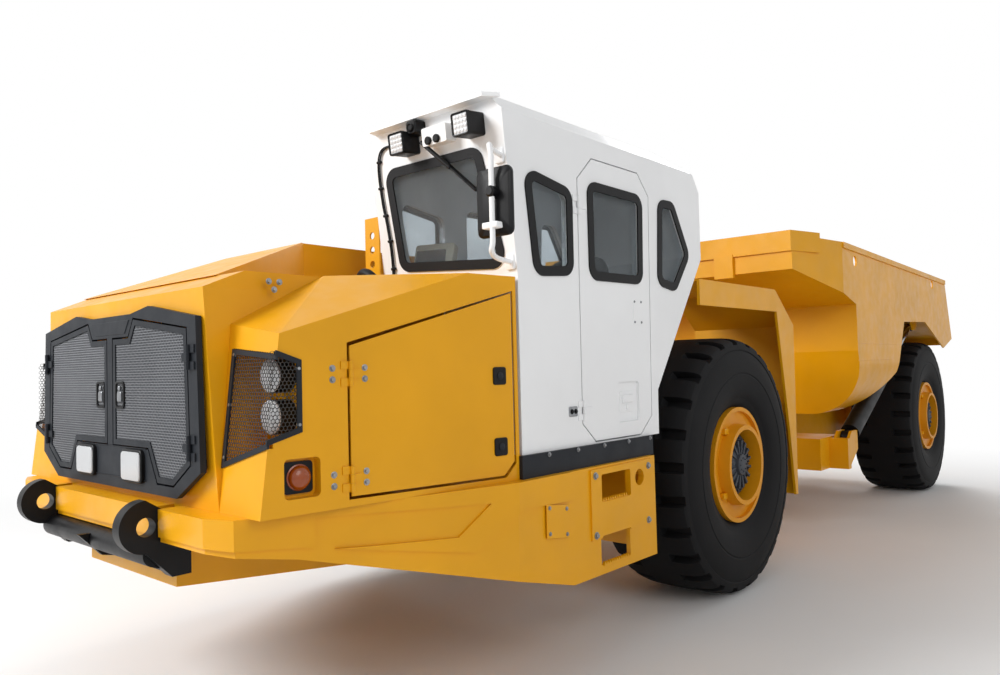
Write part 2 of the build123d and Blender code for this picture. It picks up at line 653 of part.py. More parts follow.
GRILLE_DOOR_LEAF = [(690, GRILLE_FACE + 1), (690, GRILLE_FACE - 7), (741, GRILLE_FACE - 7), (741, GRILLE_FACE - 2),
                    (712, GRILLE_FACE - 2), (712, GRILLE_FACE + 1)]
GRILLE_FRAME_LEAF = [(748, GRILLE_FACE + 1), (785, GRILLE_FACE + 1), (785, GRILLE_FACE - 6), (748, GRILLE_FACE - 6)]
GRILLE_BAR = 24
MESH_INSET = 7
MESH_THICK = 4
CENTRE_BAR = (52, 480, 1520)
grille_hinges = {hand: [hinge((hand * GRILLE_HINGE[0], GRILLE_HINGE[1]), z, hand_points(GRILLE_DOOR_LEAF, hand),
                              hand_points(GRILLE_FRAME_LEAF, hand)) for z in GRILLE_HINGE_Z] for hand in (1, -1)}
with BuildPart() as grille_frame:
    for start, depth, edge in ((GRILLE_FRONT, GRILLE_DEPTH, GRILLE_FRAME), (HOOD_FRONT - SEAT_GAP, GRILLE_BASE, GRILLE_BACK)):
        with BuildSketch(front(start)):
            add(outline(edge))
            for hand in (1, -1):
                add(outline(hand_points(GRILLE_OPEN, hand)), mode=Mode.SUBTRACT)
            with Locations((0, CENTRE_BAR[2])):
                Rectangle(CENTRE_BAR[0], CENTRE_BAR[1])
        extrude(amount=depth)
    for hand in (1, -1):
        room = prism(level(1200), hand_points([(840, -3700), (BLOCK_FOLD_X + 30, -3700), (BLOCK_FOLD_X + 30, -3400),
                                               (840, -3400)], hand), 600)
        front_bar = guard_ring(block_front_plane(2), hand_points(GUARD_FRONT, hand), PANEL)
        side_bar = guard_ring(block_side_plane(hand, 2), GUARD_SIDE, hand * PANEL)
        add(front_bar & (block_solid(hand, -PANEL) & room))
        add(side_bar & (block_solid(hand, -PANEL) & room))
        add([frame_half for door_half, frame_half in grille_hinges[hand]])
    add(fenders, mode=Mode.SUBTRACT)
finish(grille_frame, "grille_frame")
for hand, word in ((1, "left"), (-1, "right")):
    with BuildPart() as grille_door:
        with BuildSketch(front(GRILLE_FRONT)):
            add(outline(hand_points(GRILLE_DOOR, hand)))
            offset(amount=-GRILLE_BAR, kind=Kind.INTERSECTION, mode=Mode.SUBTRACT)
        extrude(amount=GRILLE_DEPTH)
        add(prism(front(GRILLE_FRONT - GRILLE_DEPTH + MESH_INSET + MESH_THICK), hand_points(GRILLE_DOOR, hand), MESH_THICK))
        add([door_half for door_half, frame_half in grille_hinges[hand]])
    finish(grille_door, f"grille_door_{word}")

# Wheel arches behind the cab and engine
ARCH_OUTER = [(-450, 2130), (800, 2130), (1150, 1860), (1120, 515)]
ARCH_BAND_INNER = [(1080, 515), (1000, 1030), (820, 1960), (-450, 1960)]
ARCH_INNER_X = FRAME_HALF + SEAT_GAP
ARCH_SHEET = 12
with BuildPart() as wheel_arches:
    for hand in (1, -1):
        add(prism(side(hand * BODY_HALF_WIDTH), ARCH_OUTER + ARCH_BAND_INNER, -hand * 20))
        add(prism(side(hand * BODY_HALF_WIDTH),
                  ARCH_OUTER + [(1120 - ARCH_SHEET, 515), (1150 - ARCH_SHEET, 1855), (795, 2130 - ARCH_SHEET),
                                (-450, 2130 - ARCH_SHEET)],
                  -hand * (BODY_HALF_WIDTH - ARCH_INNER_X)))
finish(wheel_arches, "wheel_arches")

# Cab
CAB_SIDE = [(CAB_FRONT, CAB_FLOOR), (CAB_FRONT, 2040), (CAB_FRONT - 100, CAB_TOP), (-830, CAB_TOP), (-505, 2810),
            (CAB_REAR, 2700), (CAB_REAR, 2260), (-1025, 1430), (-1030, CAB_FLOOR)]
CAB_SECTION = [(CAB_INNER_X, CAB_FLOOR - 10), (BODY_HALF_WIDTH, CAB_FLOOR - 10), (BODY_HALF_WIDTH, CAB_TOP - ROOF_BEVEL),
               (BODY_HALF_WIDTH - ROOF_BEVEL, CAB_TOP), (CAB_INNER_X + ROOF_BEVEL, CAB_TOP),
               (CAB_INNER_X, CAB_TOP - ROOF_BEVEL)]
DOOR_OUTLINE = [(-1790, 2571), (-1655, 2697), (-1191, 2697), (-1075, 2578), (-1110, 1285), (-1235, 1185),
                (-1684, 1185), (-1800, 1285)]
WINDOW_FRONT = [(-2246, 2562), (-1849, 2501), (-1853, 2051), (-2176, 2028)]
WINDOW_DOOR = [(-1710, 2576), (-1150, 2573), (-1170, 2046), (-1709, 2039)]
WINDOW_REAR = [(-964, 2582), (-780, 2589), (-584, 2268), (-780, 2026), (-997, 2056)]
WINDSHIELD = [(CAB_INNER_X + 100, 2670), (BODY_HALF_WIDTH - 155, 2665), (BODY_HALF_WIDTH - 53, 2061),
              (CAB_INNER_X + 149, 2116)]
WINDOW_CORNER = 80


def cab_solid(inset):
    with BuildPart() as solid:
        with BuildSketch(side(0)):
            add(outline(CAB_SIDE))
            if inset:
                offset(amount=-inset, kind=Kind.INTERSECTION, mode=Mode.REPLACE)
        extrude(amount=2000)
        with BuildSketch(front(1000)) as section:
            add(outline(CAB_SECTION))
            if inset:
                offset(amount=-inset, kind=Kind.INTERSECTION, mode=Mode.REPLACE)
        extrude(amount=5000, mode=Mode.INTERSECT)
    return solid.part


def grown(points, amount):
    with BuildSketch() as sketch:
        add(outline(points, WINDOW_CORNER))
        offset(amount=amount, mode=Mode.REPLACE)
    return sketch.sketch


cab_outer = cab_solid(0)
cab_inner = cab_solid(CAB_WALL)
LEFT_WINDOWS = (WINDOW_FRONT, WINDOW_REAR)
RIGHT_WINDOWS = (WINDOW_FRONT, WINDOW_DOOR, WINDOW_REAR)
LEAN = degrees(atan2(100, CAB_TOP - 2040))


def windshield_plane(depth=0):
    """Plane of the cab's leaning front wall: sketch X to the left, sketch Y along the lean from the ground."""
    lean = radians(LEAN)
    foot = -2300 - (0 - 2040) * sin(lean) / cos(lean)
    out = (0, -cos(lean), -sin(lean))
    return Plane(origin=(0, FRONT_AXLE_Y + foot + depth * cos(lean), depth * sin(lean)),
                 x_dir=(1, 0, 0), z_dir=out)


def window_cut(plane, points, start, depth, shrink=0):
    with BuildPart() as cut:
        with BuildSketch(plane.offset(start)):
            add(grown(points, -shrink))
        extrude(amount=depth)
    return cut.part


# Cab door: hinges on its front edge, recessed handle
DOOR_HINGE = (BODY_HALF_WIDTH + 12, -1800)
DOOR_HINGE_Z = (1352, 2430)
HANDLE_RECESS = (-1463, 1264, -1240, 1489)
HANDLE_DEPTH = 18
WIPER_BOX = (CAB_MIDDLE_X + 85, CAB_TOP - 140, 170, 90)
lean_points = [(x, z / cos(radians(LEAN))) for x, z in WINDSHIELD]
DOOR_LEAF = [(BODY_HALF_WIDTH - 1, -1720), (BODY_HALF_WIDTH - 1, -1786), (BODY_HALF_WIDTH + HINGE_LEAF, -1796),
             (BODY_HALF_WIDTH + HINGE_LEAF, -1720)]
SHELL_LEAF = [(BODY_HALF_WIDTH - 1, -1843), (BODY_HALF_WIDTH - 1, -1812), (BODY_HALF_WIDTH + HINGE_LEAF, -1804),
              (BODY_HALF_WIDTH + HINGE_LEAF, -1843)]
cab_hinges = [hinge(DOOR_HINGE, z, DOOR_LEAF, SHELL_LEAF) for z in DOOR_HINGE_Z]
with BuildPart() as cab_shell:
    add(cab_outer)
    add(cab_inner, mode=Mode.SUBTRACT)
    for points in LEFT_WINDOWS:
        add(window_cut(side(BODY_HALF_WIDTH - 2 * CAB_WALL), points, 0, 3 * CAB_WALL, SEAL / 2), mode=Mode.SUBTRACT)
    for points in RIGHT_WINDOWS:
        add(window_cut(side(CAB_INNER_X - CAB_WALL), points, 0, 3 * CAB_WALL, SEAL / 2), mode=Mode.SUBTRACT)
    add(window_cut(windshield_plane(), lean_points, -100, 200, SEAL / 2), mode=Mode.SUBTRACT)
    with BuildSketch(side(BODY_HALF_WIDTH - 2 * CAB_WALL)):
        add(outline(DOOR_OUTLINE))
        offset(amount=DOOR_GAP, kind=Kind.INTERSECTION, mode=Mode.REPLACE)
    extrude(amount=3 * CAB_WALL, mode=Mode.SUBTRACT)
    add([frame_half for door_half, frame_half in cab_hinges])
    with BuildSketch(windshield_plane(2)):
        with Locations((WIPER_BOX[0], WIPER_BOX[1] / cos(radians(LEAN)))):
            RectangleRounded(WIPER_BOX[2], WIPER_BOX[3], 10)
    extrude(amount=70)
finish(cab_shell, "cab_shell")

with BuildPart() as cab_door:
    with BuildSketch(side(BODY_HALF_WIDTH - CAB_WALL)):
        add(outline(DOOR_OUTLINE))
        add(grown(WINDOW_DOOR, -SEAL / 2), mode=Mode.SUBTRACT)
    extrude(amount=CAB_WALL)
    add(prism(side(BODY_HALF_WIDTH - HANDLE_DEPTH), rectangle(*HANDLE_RECESS), CAB_WALL, 20), mode=Mode.SUBTRACT)
    add([door_half for door_half, frame_half in cab_hinges])
finish(cab_door, "cab_door")


def pane(plane, points, back):
    return window_cut(plane, points, back, GLASS, SEAL / 2 + SEAT_GAP)


with BuildPart() as cab_glass:
    for points in LEFT_WINDOWS:
        add(pane(side(BODY_HALF_WIDTH), points, -30))
    for points in RIGHT_WINDOWS:
        add(pane(side(CAB_INNER_X), points, 22))
    add(pane(windshield_plane(), lean_points, -30))
finish(cab_glass, "cab_glass")
with BuildPart() as door_glass:
    add(pane(side(BODY_HALF_WIDTH), WINDOW_DOOR, -30))
finish(door_glass, "door_glass")


def seal_ring(plane, points, depth):
    with BuildPart() as ring:
        with BuildSketch(plane):
            add(grown(points, 0))
            add(grown(points, -SEAL), mode=Mode.SUBTRACT)
        extrude(amount=depth)
    return ring.part


with BuildPart() as window_seals:
    for points in LEFT_WINDOWS:
        add(seal_ring(side(BODY_HALF_WIDTH), points, SEAL_PROUD))
    for points in RIGHT_WINDOWS:
        add(seal_ring(side(CAB_INNER_X), points, -SEAL_PROUD))
    add(seal_ring(windshield_plane(), lean_points, SEAL_PROUD))
finish(window_seals, "window_seals")
with BuildPart() as door_seal:
    add(seal_ring(side(BODY_HALF_WIDTH), WINDOW_DOOR, SEAL_PROUD))
finish(door_seal, "door_seal")

# Driver's seat and console
CONSOLE_WIDTH = BODY_HALF_WIDTH - CAB_INNER_X - 2 * CAB_WALL - 40
SEAT_Y = -1500
with BuildPart() as driver_seat:
    with BuildSketch(level(CAB_FLOOR + CAB_WALL)):
        with Locations((CAB_MIDDLE_X, SEAT_Y)):
            Rectangle(380, 380)
    extrude(amount=300)
    with BuildSketch(level(CAB_FLOOR + CAB_WALL + 300)):
        with Locations((CAB_MIDDLE_X, SEAT_Y)):
            RectangleRounded(520, 520, 60)
    extrude(amount=120)
    add(prism(side(CAB_MIDDLE_X - 260), [(SEAT_Y + 160, 1600), (SEAT_Y + 280, 1600), (SEAT_Y + 420, 2260), (SEAT_Y + 310, 2260)], 520))
finish(driver_seat, "driver_seat")
with BuildPart() as cab_console:
    add(prism(side(CAB_INNER_X + CAB_WALL + SEAT_GAP), [(-2240, 1225), (-1960, 1225), (-1960, 1500), (-2100, 1900),
                                                      (-2240, 1950)], CONSOLE_WIDTH))
finish(cab_console, "cab_console")

# Lamps: two on the cab, two under the grille, two behind each lamp guard; and the amber turn signals
ROOF_LAMP_X = (CAB_MIDDLE_X - 144, CAB_MIDDLE_X + 313)
ROOF_LAMP_Z = CAB_TOP - 140
ROOF_LAMP = 110
GRILLE_LAMP = (246, 1205, 130, 120)
BLOCK_LAMPS = ((1010, 1580), (1010, 1420))
BLOCK_LAMP_R = 68
with BuildPart() as work_lamps:
    for x in ROOF_LAMP_X:
        with BuildSketch(windshield_plane(-SEAT_GAP)):
            with Locations((x, ROOF_LAMP_Z / cos(radians(LEAN)))):
                RectangleRounded(ROOF_LAMP, ROOF_LAMP, 12)
        extrude(amount=ROOF_LAMP)
    for hand in (1, -1):
        with BuildSketch(front(GRILLE_FRONT - GRILLE_DEPTH)):
            with Locations((hand * GRILLE_LAMP[0], GRILLE_LAMP[1])):
                RectangleRounded(GRILLE_LAMP[2], GRILLE_LAMP[3], 20)
        extrude(amount=18)
        for x, z in BLOCK_LAMPS:
            with BuildSketch(front(LAMP_WALL - SEAT_GAP)):
                with Locations((hand * x, z)):
                    Circle(BLOCK_LAMP_R)
            extrude(amount=70)
finish(work_lamps, "work_lamps")
with BuildPart() as turn_signals:
    for hand in (1, -1):
        with BuildSketch(block_side_plane(hand, SIGNAL_DEPTH - SEAT_GAP)):
            with Locations(SIGNAL):
                RectangleRounded(SIGNAL_SIZE - 30, SIGNAL_SIZE - 30, 15)
        extrude(amount=hand * 10)
        with BuildSketch(block_side_plane(hand, SIGNAL_DEPTH - 10)):
            with Locations(SIGNAL):
                Circle(42)
        extrude(amount=hand * 24, taper=20)
finish(turn_signals, "turn_signals")

# Rubber flap under the cab
with BuildPart() as skirt_flap:
    add(prism(side(BODY_HALF_WIDTH + SEAT_GAP), rectangle(-2325, BUMPER_TOP + SEAT_GAP, -1137, CAB_FLOOR), 20))
finish(skirt_flap, "skirt_flap")

# Engine as one block
with BuildPart() as engine_block:
    add(prism(side(-650), rectangle(-3100, ENGINE_BOTTOM, -1250, 1900), 750))
finish(engine_block, "engine_block")

# Rear frame: two side plates behind a twin-plate hitch, with outriggers for the hoist cylinders
OUTRIGGER_X = 1120
OUTRIGGER = (2170, 2480, 560, 850)
HITCH_PLATE_REAR = 2640
REST_PAD = (2900, FRAME_TOP - 10, 3100, BOX_BOTTOM - SEAT_GAP)
with BuildPart() as rear_frame:
    for hand in (1, -1):
        add(prism(
            side(hand * FRAME_HALF),
            [(HITCH_PLATE_REAR - 100, FRAME_BOTTOM), (HITCH_PLATE_REAR - 100, FRAME_TOP), (4900, FRAME_TOP),
             (5520, 1320), (TIP_Y + 120, 1320), (TIP_Y + 120, 900), (4900, FRAME_BOTTOM + 60)],
            -hand * FRAME_PLATE,
        ))
        add(prism(level(OUTRIGGER[2]), hand_points([(FRAME_HALF - 10, HITCH_PLATE_REAR - 100), (FRAME_HALF + 60, OUTRIGGER[0]),
                                                    (OUTRIGGER_X, OUTRIGGER[0]), (OUTRIGGER_X, OUTRIGGER[1] + 200),
                                                    (FRAME_HALF - 10, OUTRIGGER[1] + 200)], hand),
                  OUTRIGGER[3] - OUTRIGGER[2]))
        for x in (HOIST_X - HOIST_EYE_THICK / 2 - SIDE_GAP - HOIST_EAR, HOIST_X + HOIST_EYE_THICK / 2 + SIDE_GAP):
            add(prism(side(hand * x), [(2420, 560), (HOIST_FOOT[0] + 80, 720), (HOIST_FOOT[0] + 80, 900),
                                       (HOIST_FOOT[0] - 80, 900), (2400, 800)], hand * HOIST_EAR))
        add(prism(side(hand * (OUTRIGGER_X - 10)), rectangle(2400, 560, 2480, 840), hand * (HOIST_X + 71 - OUTRIGGER_X + 10)))
        with BuildSketch(side(hand * (HOIST_X - 60))):
            with Locations(HOIST_FOOT):
                Circle(28)
        extrude(amount=hand * 120)
    add(cross_beam(HITCH_PLATE_REAR - 40, FRAME_BOTTOM, FRAME_TOP, FRAME_HALF))
    for y in (3400, 4700, 5780):
        add(cross_beam(y, 680, 960, FRAME_HALF))
    for hand in (1, -1):
        add(prism(side(hand * FRAME_HALF), rectangle(*REST_PAD), -hand * 80))
    for z in HITCH_LEVELS:
        with BuildSketch(level(z - HITCH_EAR / 2)):
            with BuildLine():
                Line((FRAME_HALF, HITCH_PLATE_REAR), (FRAME_HALF, 2330))
                Line((FRAME_HALF, 2330), (HITCH_EAR_R - 10, HITCH_Y))
                ThreePointArc((HITCH_EAR_R - 10, HITCH_Y), (0, HITCH_Y - HITCH_EAR_R + 10), (-HITCH_EAR_R + 10, HITCH_Y))
                Line((-HITCH_EAR_R + 10, HITCH_Y), (-FRAME_HALF, 2330))
                Line((-FRAME_HALF, 2330), (-FRAME_HALF, HITCH_PLATE_REAR))
                Line((-FRAME_HALF, HITCH_PLATE_REAR), (FRAME_HALF, HITCH_PLATE_REAR))
            make_face()
            with Locations((0, HITCH_Y)):
                Circle(HITCH_PIN_R + RUNNING, mode=Mode.SUBTRACT)
        extrude(amount=HITCH_EAR)
    for hand in (1, -1):
        with BuildSketch(level(HITCH_LEVELS[0])):
            with Locations((hand * STEER_EYE[0], STEER_EYE[1])):
                Circle(STEER_EYE_R)
        extrude(amount=STEER_Z - STEER_EYE_THICK / 2 - SIDE_GAP - HITCH_LEVELS[0])
        with BuildSketch(level(STEER_Z + STEER_EYE_THICK / 2 + SIDE_GAP)):
            with Locations((hand * STEER_EYE[0], STEER_EYE[1])):
                Circle(STEER_EYE_R)
        extrude(amount=HITCH_LEVELS[1] - STEER_Z - STEER_EYE_THICK / 2 - SIDE_GAP)
    for bore_r, y, z in ((TIP_PIN_R + RUNNING, TIP_Y, TIP_Z), (AXLE_BEAM_R + SEAT_GAP, WHEELBASE, TYRE_RADIUS)):
        with BuildSketch(side(-FRAME_HALF - 1)):
            with Locations((y, z)):
                Circle(bore_r)
        extrude(amount=2 * FRAME_HALF + 2, mode=Mode.SUBTRACT)
finish(rear_frame, "rear_frame")

# Dump box: the tub, its side plates, and the arched sheets over the rear tyres
BOX_FLOOR_START = 3200
BOX_TAIL = (BOX_REAR, 1790)
BOX_TAIL_TOP = 5780
BOX_TAIL_TIP = (5700, 1640)
BOX_FRONT_FACE = [(BOX_FRONT_LIP, 2330), (BOX_FRONT, 2070), (BOX_FRONT, 1650), (BOX_FRONT + 140, BOX_BOTTOM),
                  (BOX_FLOOR_START, BOX_BOTTOM)]
FLOOR_SLOPE = (BOX_TAIL[1] - BOX_BOTTOM) / (BOX_TAIL[0] - BOX_FLOOR_START)
BOX_SIDE = [(BOX_FRONT_LIP, BOX_TOP_FRONT)] + BOX_FRONT_FACE + [BOX_TAIL, (BOX_TAIL_TOP, BOX_TOP_REAR)]
BOX_SIDE_OPEN = ([(BOX_FRONT_LIP, BOX_TOP_FRONT + 300)] + BOX_FRONT_FACE
                 + [(BOX_TAIL[0] + 500, BOX_TAIL[1] + 500 * FLOOR_SLOPE), (BOX_TAIL[0] + 500, BOX_TOP_FRONT + 300)])
BOX_ARCH_FRONT = 2790
BOX_ARCH = [(BOX_ARCH_FRONT, 900), (BOX_ARCH_FRONT, BOX_BOTTOM), (3560, 1430), (3860, 1950), (4740, 1970),
            BOX_TAIL_TIP, (5700, 900)]
BOX_CEILING = 2040
BOX_ARCH_CEILING = [(3900, 1900), (3900, BOX_CEILING), (5050, BOX_CEILING), (5740, 1790), (5740, 1500), (4700, 1500)]
BOX_LIP_X = BOX_HALF_WIDTH - 180
BOX_SHOULDER_Y = 1950
SIDE_INNER_X = BOX_HALF_WIDTH - BOX_WALL
SIDE_FOOT_Z = BOX_BOTTOM + BELLY_RADIUS


def box_solid(side_outline, inset):
    half = BOX_HALF_WIDTH - inset
    bottom = BOX_BOTTOM + inset
    radius = BELLY_RADIUS - inset
    shorter = radius * (1 - cos(radians(45)))
    with BuildPart() as solid:
        with BuildSketch(side(0)):
            add(outline(side_outline))
            if inset:
                offset(amount=-inset, kind=Kind.INTERSECTION, mode=Mode.REPLACE)
        extrude(amount=2000, both=True)
        with BuildSketch(front(-1000)):
            with BuildLine():
                Line((half, 3000), (half, bottom + radius))
                ThreePointArc((half, bottom + radius), (half - shorter, bottom + shorter), (half - radius, bottom))
                Line((half - radius, bottom), (-half + radius, bottom))
                ThreePointArc((-half + radius, bottom), (-half + shorter, bottom + shorter), (-half, bottom + radius))
                Polyline((-half, bottom + radius), (-half, 3000), (half, 3000))
            make_face()
        extrude(amount=-10000, mode=Mode.INTERSECT)
        with BuildSketch(level(0)):
            add(outline(mirrored([(BOX_LIP_X - inset * 0.4, BOX_FRONT_LIP - 10), (half, BOX_SHOULDER_Y), (half, 7000)])))
        extrude(amount=3000, mode=Mode.INTERSECT)
        for hand in (1, -1):
            for points, reach in ((BOX_ARCH, 2000), (BOX_ARCH_CEILING, SIDE_INNER_X - ARCH_HALF + inset)):
                with BuildSketch(side(hand * (ARCH_HALF - inset))):
                    add(outline(points))
                    if inset:
                        offset(amount=inset, kind=Kind.INTERSECTION, mode=Mode.REPLACE)
                extrude(amount=hand * reach, mode=Mode.SUBTRACT)
    return solid.part


def floor_z(y):
    """Middle of the sloping floor plate."""
    return BOX_BOTTOM + (y - BOX_FLOOR_START) * FLOOR_SLOPE + BOX_WALL / 2


def side_zone(hand, gap):
    """The room of one side plate, grown by a gap."""
    return prism(side(hand * (SIDE_INNER_X - gap)), rectangle(0, SIDE_FOOT_Z - gap, 7000, 3000), hand * 200)


def arch_zone(hand, gap):
    """The room of one arched sheet, grown by a gap."""
    return prism(side(hand * (ARCH_HALF - gap)), rectangle(BOX_ARCH_FRONT - gap, 0, 7000, BOX_CEILING + 100), hand * 900)


BOX_EAR_X = FRAME_HALF + SIDE_GAP
BOX_EAR = 30
LIFT_EYES = ((2295, 2460), (5140, 2420))
LIFT_EYE_R = 50
RAIL_PROUD = 14
RAIL_HEIGHT = 50
BAND_PROUD = 20
BAND_LOW = 2480
BAND_REAR = 1600
POST = (600, 2300, 770, 2500)
HOIST_EARS_X = (HOIST_X - HOIST_EYE_THICK / 2 - SIDE_GAP - HOIST_EAR, HOIST_X + HOIST_EYE_THICK / 2 + SIDE_GAP)
RAIL_SLOPE = (BOX_TOP_REAR - BOX_TOP_FRONT) / (BOX_TAIL_TOP - BOX_FRONT_LIP)
box_shell = box_solid(BOX_SIDE, 0) - box_solid(BOX_SIDE_OPEN, BOX_WALL)

with BuildPart() as dump_box:
    add(box_shell)
    for hand in (1, -1):
        add(side_zone(hand, SEAT_GAP), mode=Mode.SUBTRACT)
        add(arch_zone(hand, SEAT_GAP), mode=Mode.SUBTRACT)
    with BuildSketch(level(BAND_LOW)):
        add(outline(mirrored([(BOX_LIP_X + 4, BOX_FRONT_LIP - BAND_PROUD), (BOX_HALF_WIDTH - 66, BAND_REAR)])))
        add(outline(mirrored([(BOX_LIP_X - BOX_WALL, BOX_FRONT_LIP + BOX_WALL), (BOX_HALF_WIDTH - 66 - 40, BAND_REAR + 1)])),
            mode=Mode.SUBTRACT)
    extrude(amount=BOX_TOP_FRONT + 30 - BAND_LOW)
    for hand in (1, -1):
        add(prism(front(BOX_FRONT_LIP + 2), hand_points(rectangle(*POST), hand), 32))
        add(prism(side(hand * BOX_EAR_X), [(5560, floor_z(5560)), (5900, floor_z(5900)), (TIP_Y + 80, TIP_Z - 70),
                                           (TIP_Y - 80, TIP_Z - 70)], hand * BOX_EAR))
        with BuildSketch(side(hand * (FRAME_HALF - FRAME_PLATE - 15))):
            with Locations((TIP_Y, TIP_Z)):
                Circle(TIP_PIN_R)
        extrude(amount=hand * (FRAME_PLATE + SIDE_GAP + BOX_EAR + 30))
finish(dump_box, "dump_box")

with BuildPart() as box_sides:
    add(box_shell)
    add(side_zone(1, 0) + side_zone(-1, 0), mode=Mode.INTERSECT)
    for hand in (1, -1):
        add(prism(side(hand * (BOX_HALF_WIDTH - 2)),
                  [(y, BOX_TOP_FRONT + RAIL_SLOPE * (y - BOX_FRONT_LIP) - drop)
                   for y, drop in ((BOX_SHOULDER_Y + 10, 0), (BOX_SHOULDER_Y + 10, RAIL_HEIGHT),
                                   (BOX_TAIL_TOP - 10, RAIL_HEIGHT), (BOX_TAIL_TOP - 10, 0))],
                  hand * (RAIL_PROUD + 2)))
        add(prism(side(hand * (SIDE_INNER_X + 2)),
                  [(BOX_TAIL_TOP - 60, BOX_TOP_REAR - 10), (BOX_TAIL_TOP + 50, BOX_TOP_REAR - 10), (BOX_REAR + 50, BOX_TAIL[1] + 25),
                   (BOX_REAR - 80, BOX_TAIL[1] + 25)], -hand * (BOX_WALL + 2)))
    for y, z in LIFT_EYES:
        with BuildSketch(side(-BOX_HALF_WIDTH - RAIL_PROUD)):
            with Locations((y, z)):
                Circle(LIFT_EYE_R)
        extrude(amount=2 * (BOX_HALF_WIDTH + RAIL_PROUD), mode=Mode.SUBTRACT)
finish(box_sides, "box_sides")

with BuildPart() as box_arches:
    add(box_shell)
    add(arch_zone(1, 0) + arch_zone(-1, 0), mode=Mode.INTERSECT)
    for hand in (1, -1):
        add(side_zone(hand, SEAT_GAP), mode=Mode.SUBTRACT)
        for x in HOIST_EARS_X:
            add(prism(side(hand * x), [(4800, BOX_CEILING + 10), (HOIST_EYE[0] - 45, 1890), (HOIST_EYE[0] + 45, 1890),
                                       (5045, BOX_CEILING + 10)], hand * HOIST_EAR))
finish(box_arches, "box_arches")


# Hoist and steering cylinders: an eyed barrel and an eyed rod each
def cylinder(foot, eye, pin_direction, sizes, names):
    """Barrel and rod on the line from foot to eye, their eyes bored round the given pin direction."""
    barrel_r, rod_r, eye_r, eye_thick, pin_r, barrel_length, rod_start = sizes
    length = (Vector(*eye) - Vector(*foot)).length
    line = Plane(origin=foot, x_dir=pin_direction, z_dir=Vector(*eye) - Vector(*foot))
    neck = eye_r * 1.5
    with BuildPart() as barrel:
        with BuildSketch(line.offset(neck)):
            Circle(barrel_r)
        extrude(amount=barrel_length - neck)
        with BuildSketch(line):
            Circle(min(barrel_r, eye_thick / 2) - 5)
        extrude(amount=neck + 10)
        with BuildSketch(line.offset(neck + 20)):
            Circle(rod_r + RUNNING)
        extrude(amount=barrel_length, mode=Mode.SUBTRACT)
        with BuildSketch(Plane(origin=foot, z_dir=pin_direction)):
            Circle(eye_r)
        extrude(amount=eye_thick / 2, both=True)
        with BuildSketch(Plane(origin=foot, z_dir=pin_direction)):
            Circle(pin_r + RUNNING)
        extrude(amount=eye_thick, both=True, mode=Mode.SUBTRACT)
    finish(barrel, names[0])
    with BuildPart() as rod:
        with BuildSketch(line.offset(rod_start)):
            Circle(rod_r)
        extrude(amount=length - rod_start)
        with BuildSketch(Plane(origin=eye, z_dir=pin_direction)):
            Circle(eye_r)
        extrude(amount=eye_thick / 2, both=True)
    finish(rod, names[1])


for hand, word in ((1, "left"), (-1, "right")):
    cylinder(
        (hand * HOIST_X, FRONT_AXLE_Y + HOIST_FOOT[0], HOIST_FOOT[1]),
        (hand * HOIST_X, FRONT_AXLE_Y + HOIST_EYE[0], HOIST_EYE[1]),
        (1, 0, 0),
        (HOIST_BARREL_R, HOIST_ROD_R, HOIST_EYE_R, HOIST_EYE_THICK, 28, HOIST_BARREL_LENGTH, 140),
        (f"hoist_barrel_{word}", f"hoist_rod_{word}"),
    )
    cylinder(
        (hand * STEER_FOOT[0], FRONT_AXLE_Y + STEER_FOOT[1], STEER_Z),
        (hand * STEER_EYE[0], FRONT_AXLE_Y + STEER_EYE[1], STEER_Z),
        (0, 0, 1),
        (STEER_BARREL_R, STEER_ROD_R, STEER_EYE_R, STEER_EYE_THICK, 22, STEER_BARREL_LENGTH, 420),
        (f"steer_barrel_{word}", f"steer_rod_{word}"),
    )

# Fuel tank on the right, behind the front block
with BuildPart() as fuel_tank:
    with BuildSketch(front(BLOCK_REAR + SEAT_GAP)):
        add(outline([(-BODY_HALF_WIDTH, BUMPER_TOP + SEAT_GAP), (-BODY_HALF_WIDTH, BLOCK_TOP - 60),
                     (-BODY_HALF_WIDTH + 60, BLOCK_TOP), (-TANK_INNER_X - SEAT_GAP, BLOCK_TOP),
                     (-TANK_INNER_X - SEAT_GAP, BUMPER_TOP + SEAT_GAP)]))
    extrude(amount=BLOCK_REAR - BUMPER_REAR - 20)
finish(fuel_tank, "fuel_tank")

# Mirror on its bent tube
MIRROR_TUBE_R = 16
MIRROR_CLAMP = (1262, 12)
MIRROR_LEVELS = (2593, 2090)
with BuildPart() as mirror:
    for z in MIRROR_LEVELS:
        with BuildSketch(windshield_plane(-SEAT_GAP)):
            with Locations((MIRROR_CLAMP[0], z / cos(radians(LEAN)))):
                RectangleRounded(60, 90, 8)
        extrude(amount=MIRROR_CLAMP[1])
    upper_y = CAB_FRONT - (MIRROR_LEVELS[0] - 2040) * 100 / (CAB_TOP - 2040) - MIRROR_CLAMP[1]
    lower_y = CAB_FRONT - (MIRROR_LEVELS[1] - 2040) * 100 / (CAB_TOP - 2040) - MIRROR_CLAMP[1]
    with BuildLine() as tube_path:
        FilletPolyline((1262, FRONT_AXLE_Y + upper_y, MIRROR_LEVELS[0]), (1300, FRONT_AXLE_Y - 2560, 2560),
                       (1300, FRONT_AXLE_Y - 2560, 2120), (1262, FRONT_AXLE_Y + lower_y, MIRROR_LEVELS[1]), radius=50)
    with BuildSketch(Plane(origin=tube_path.line @ 0, z_dir=tube_path.line % 0)):
        RegularPolygon(MIRROR_TUBE_R, 8)
    sweep()
    with BuildSketch(front(-2560)):
        with Locations((1345, 2325)):
            RectangleRounded(190, 290, 30)
    extrude(amount=55)
finish(mirror, "mirror")
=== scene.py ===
import math
import bmesh
import bpy
from mathutils import Matrix, Vector


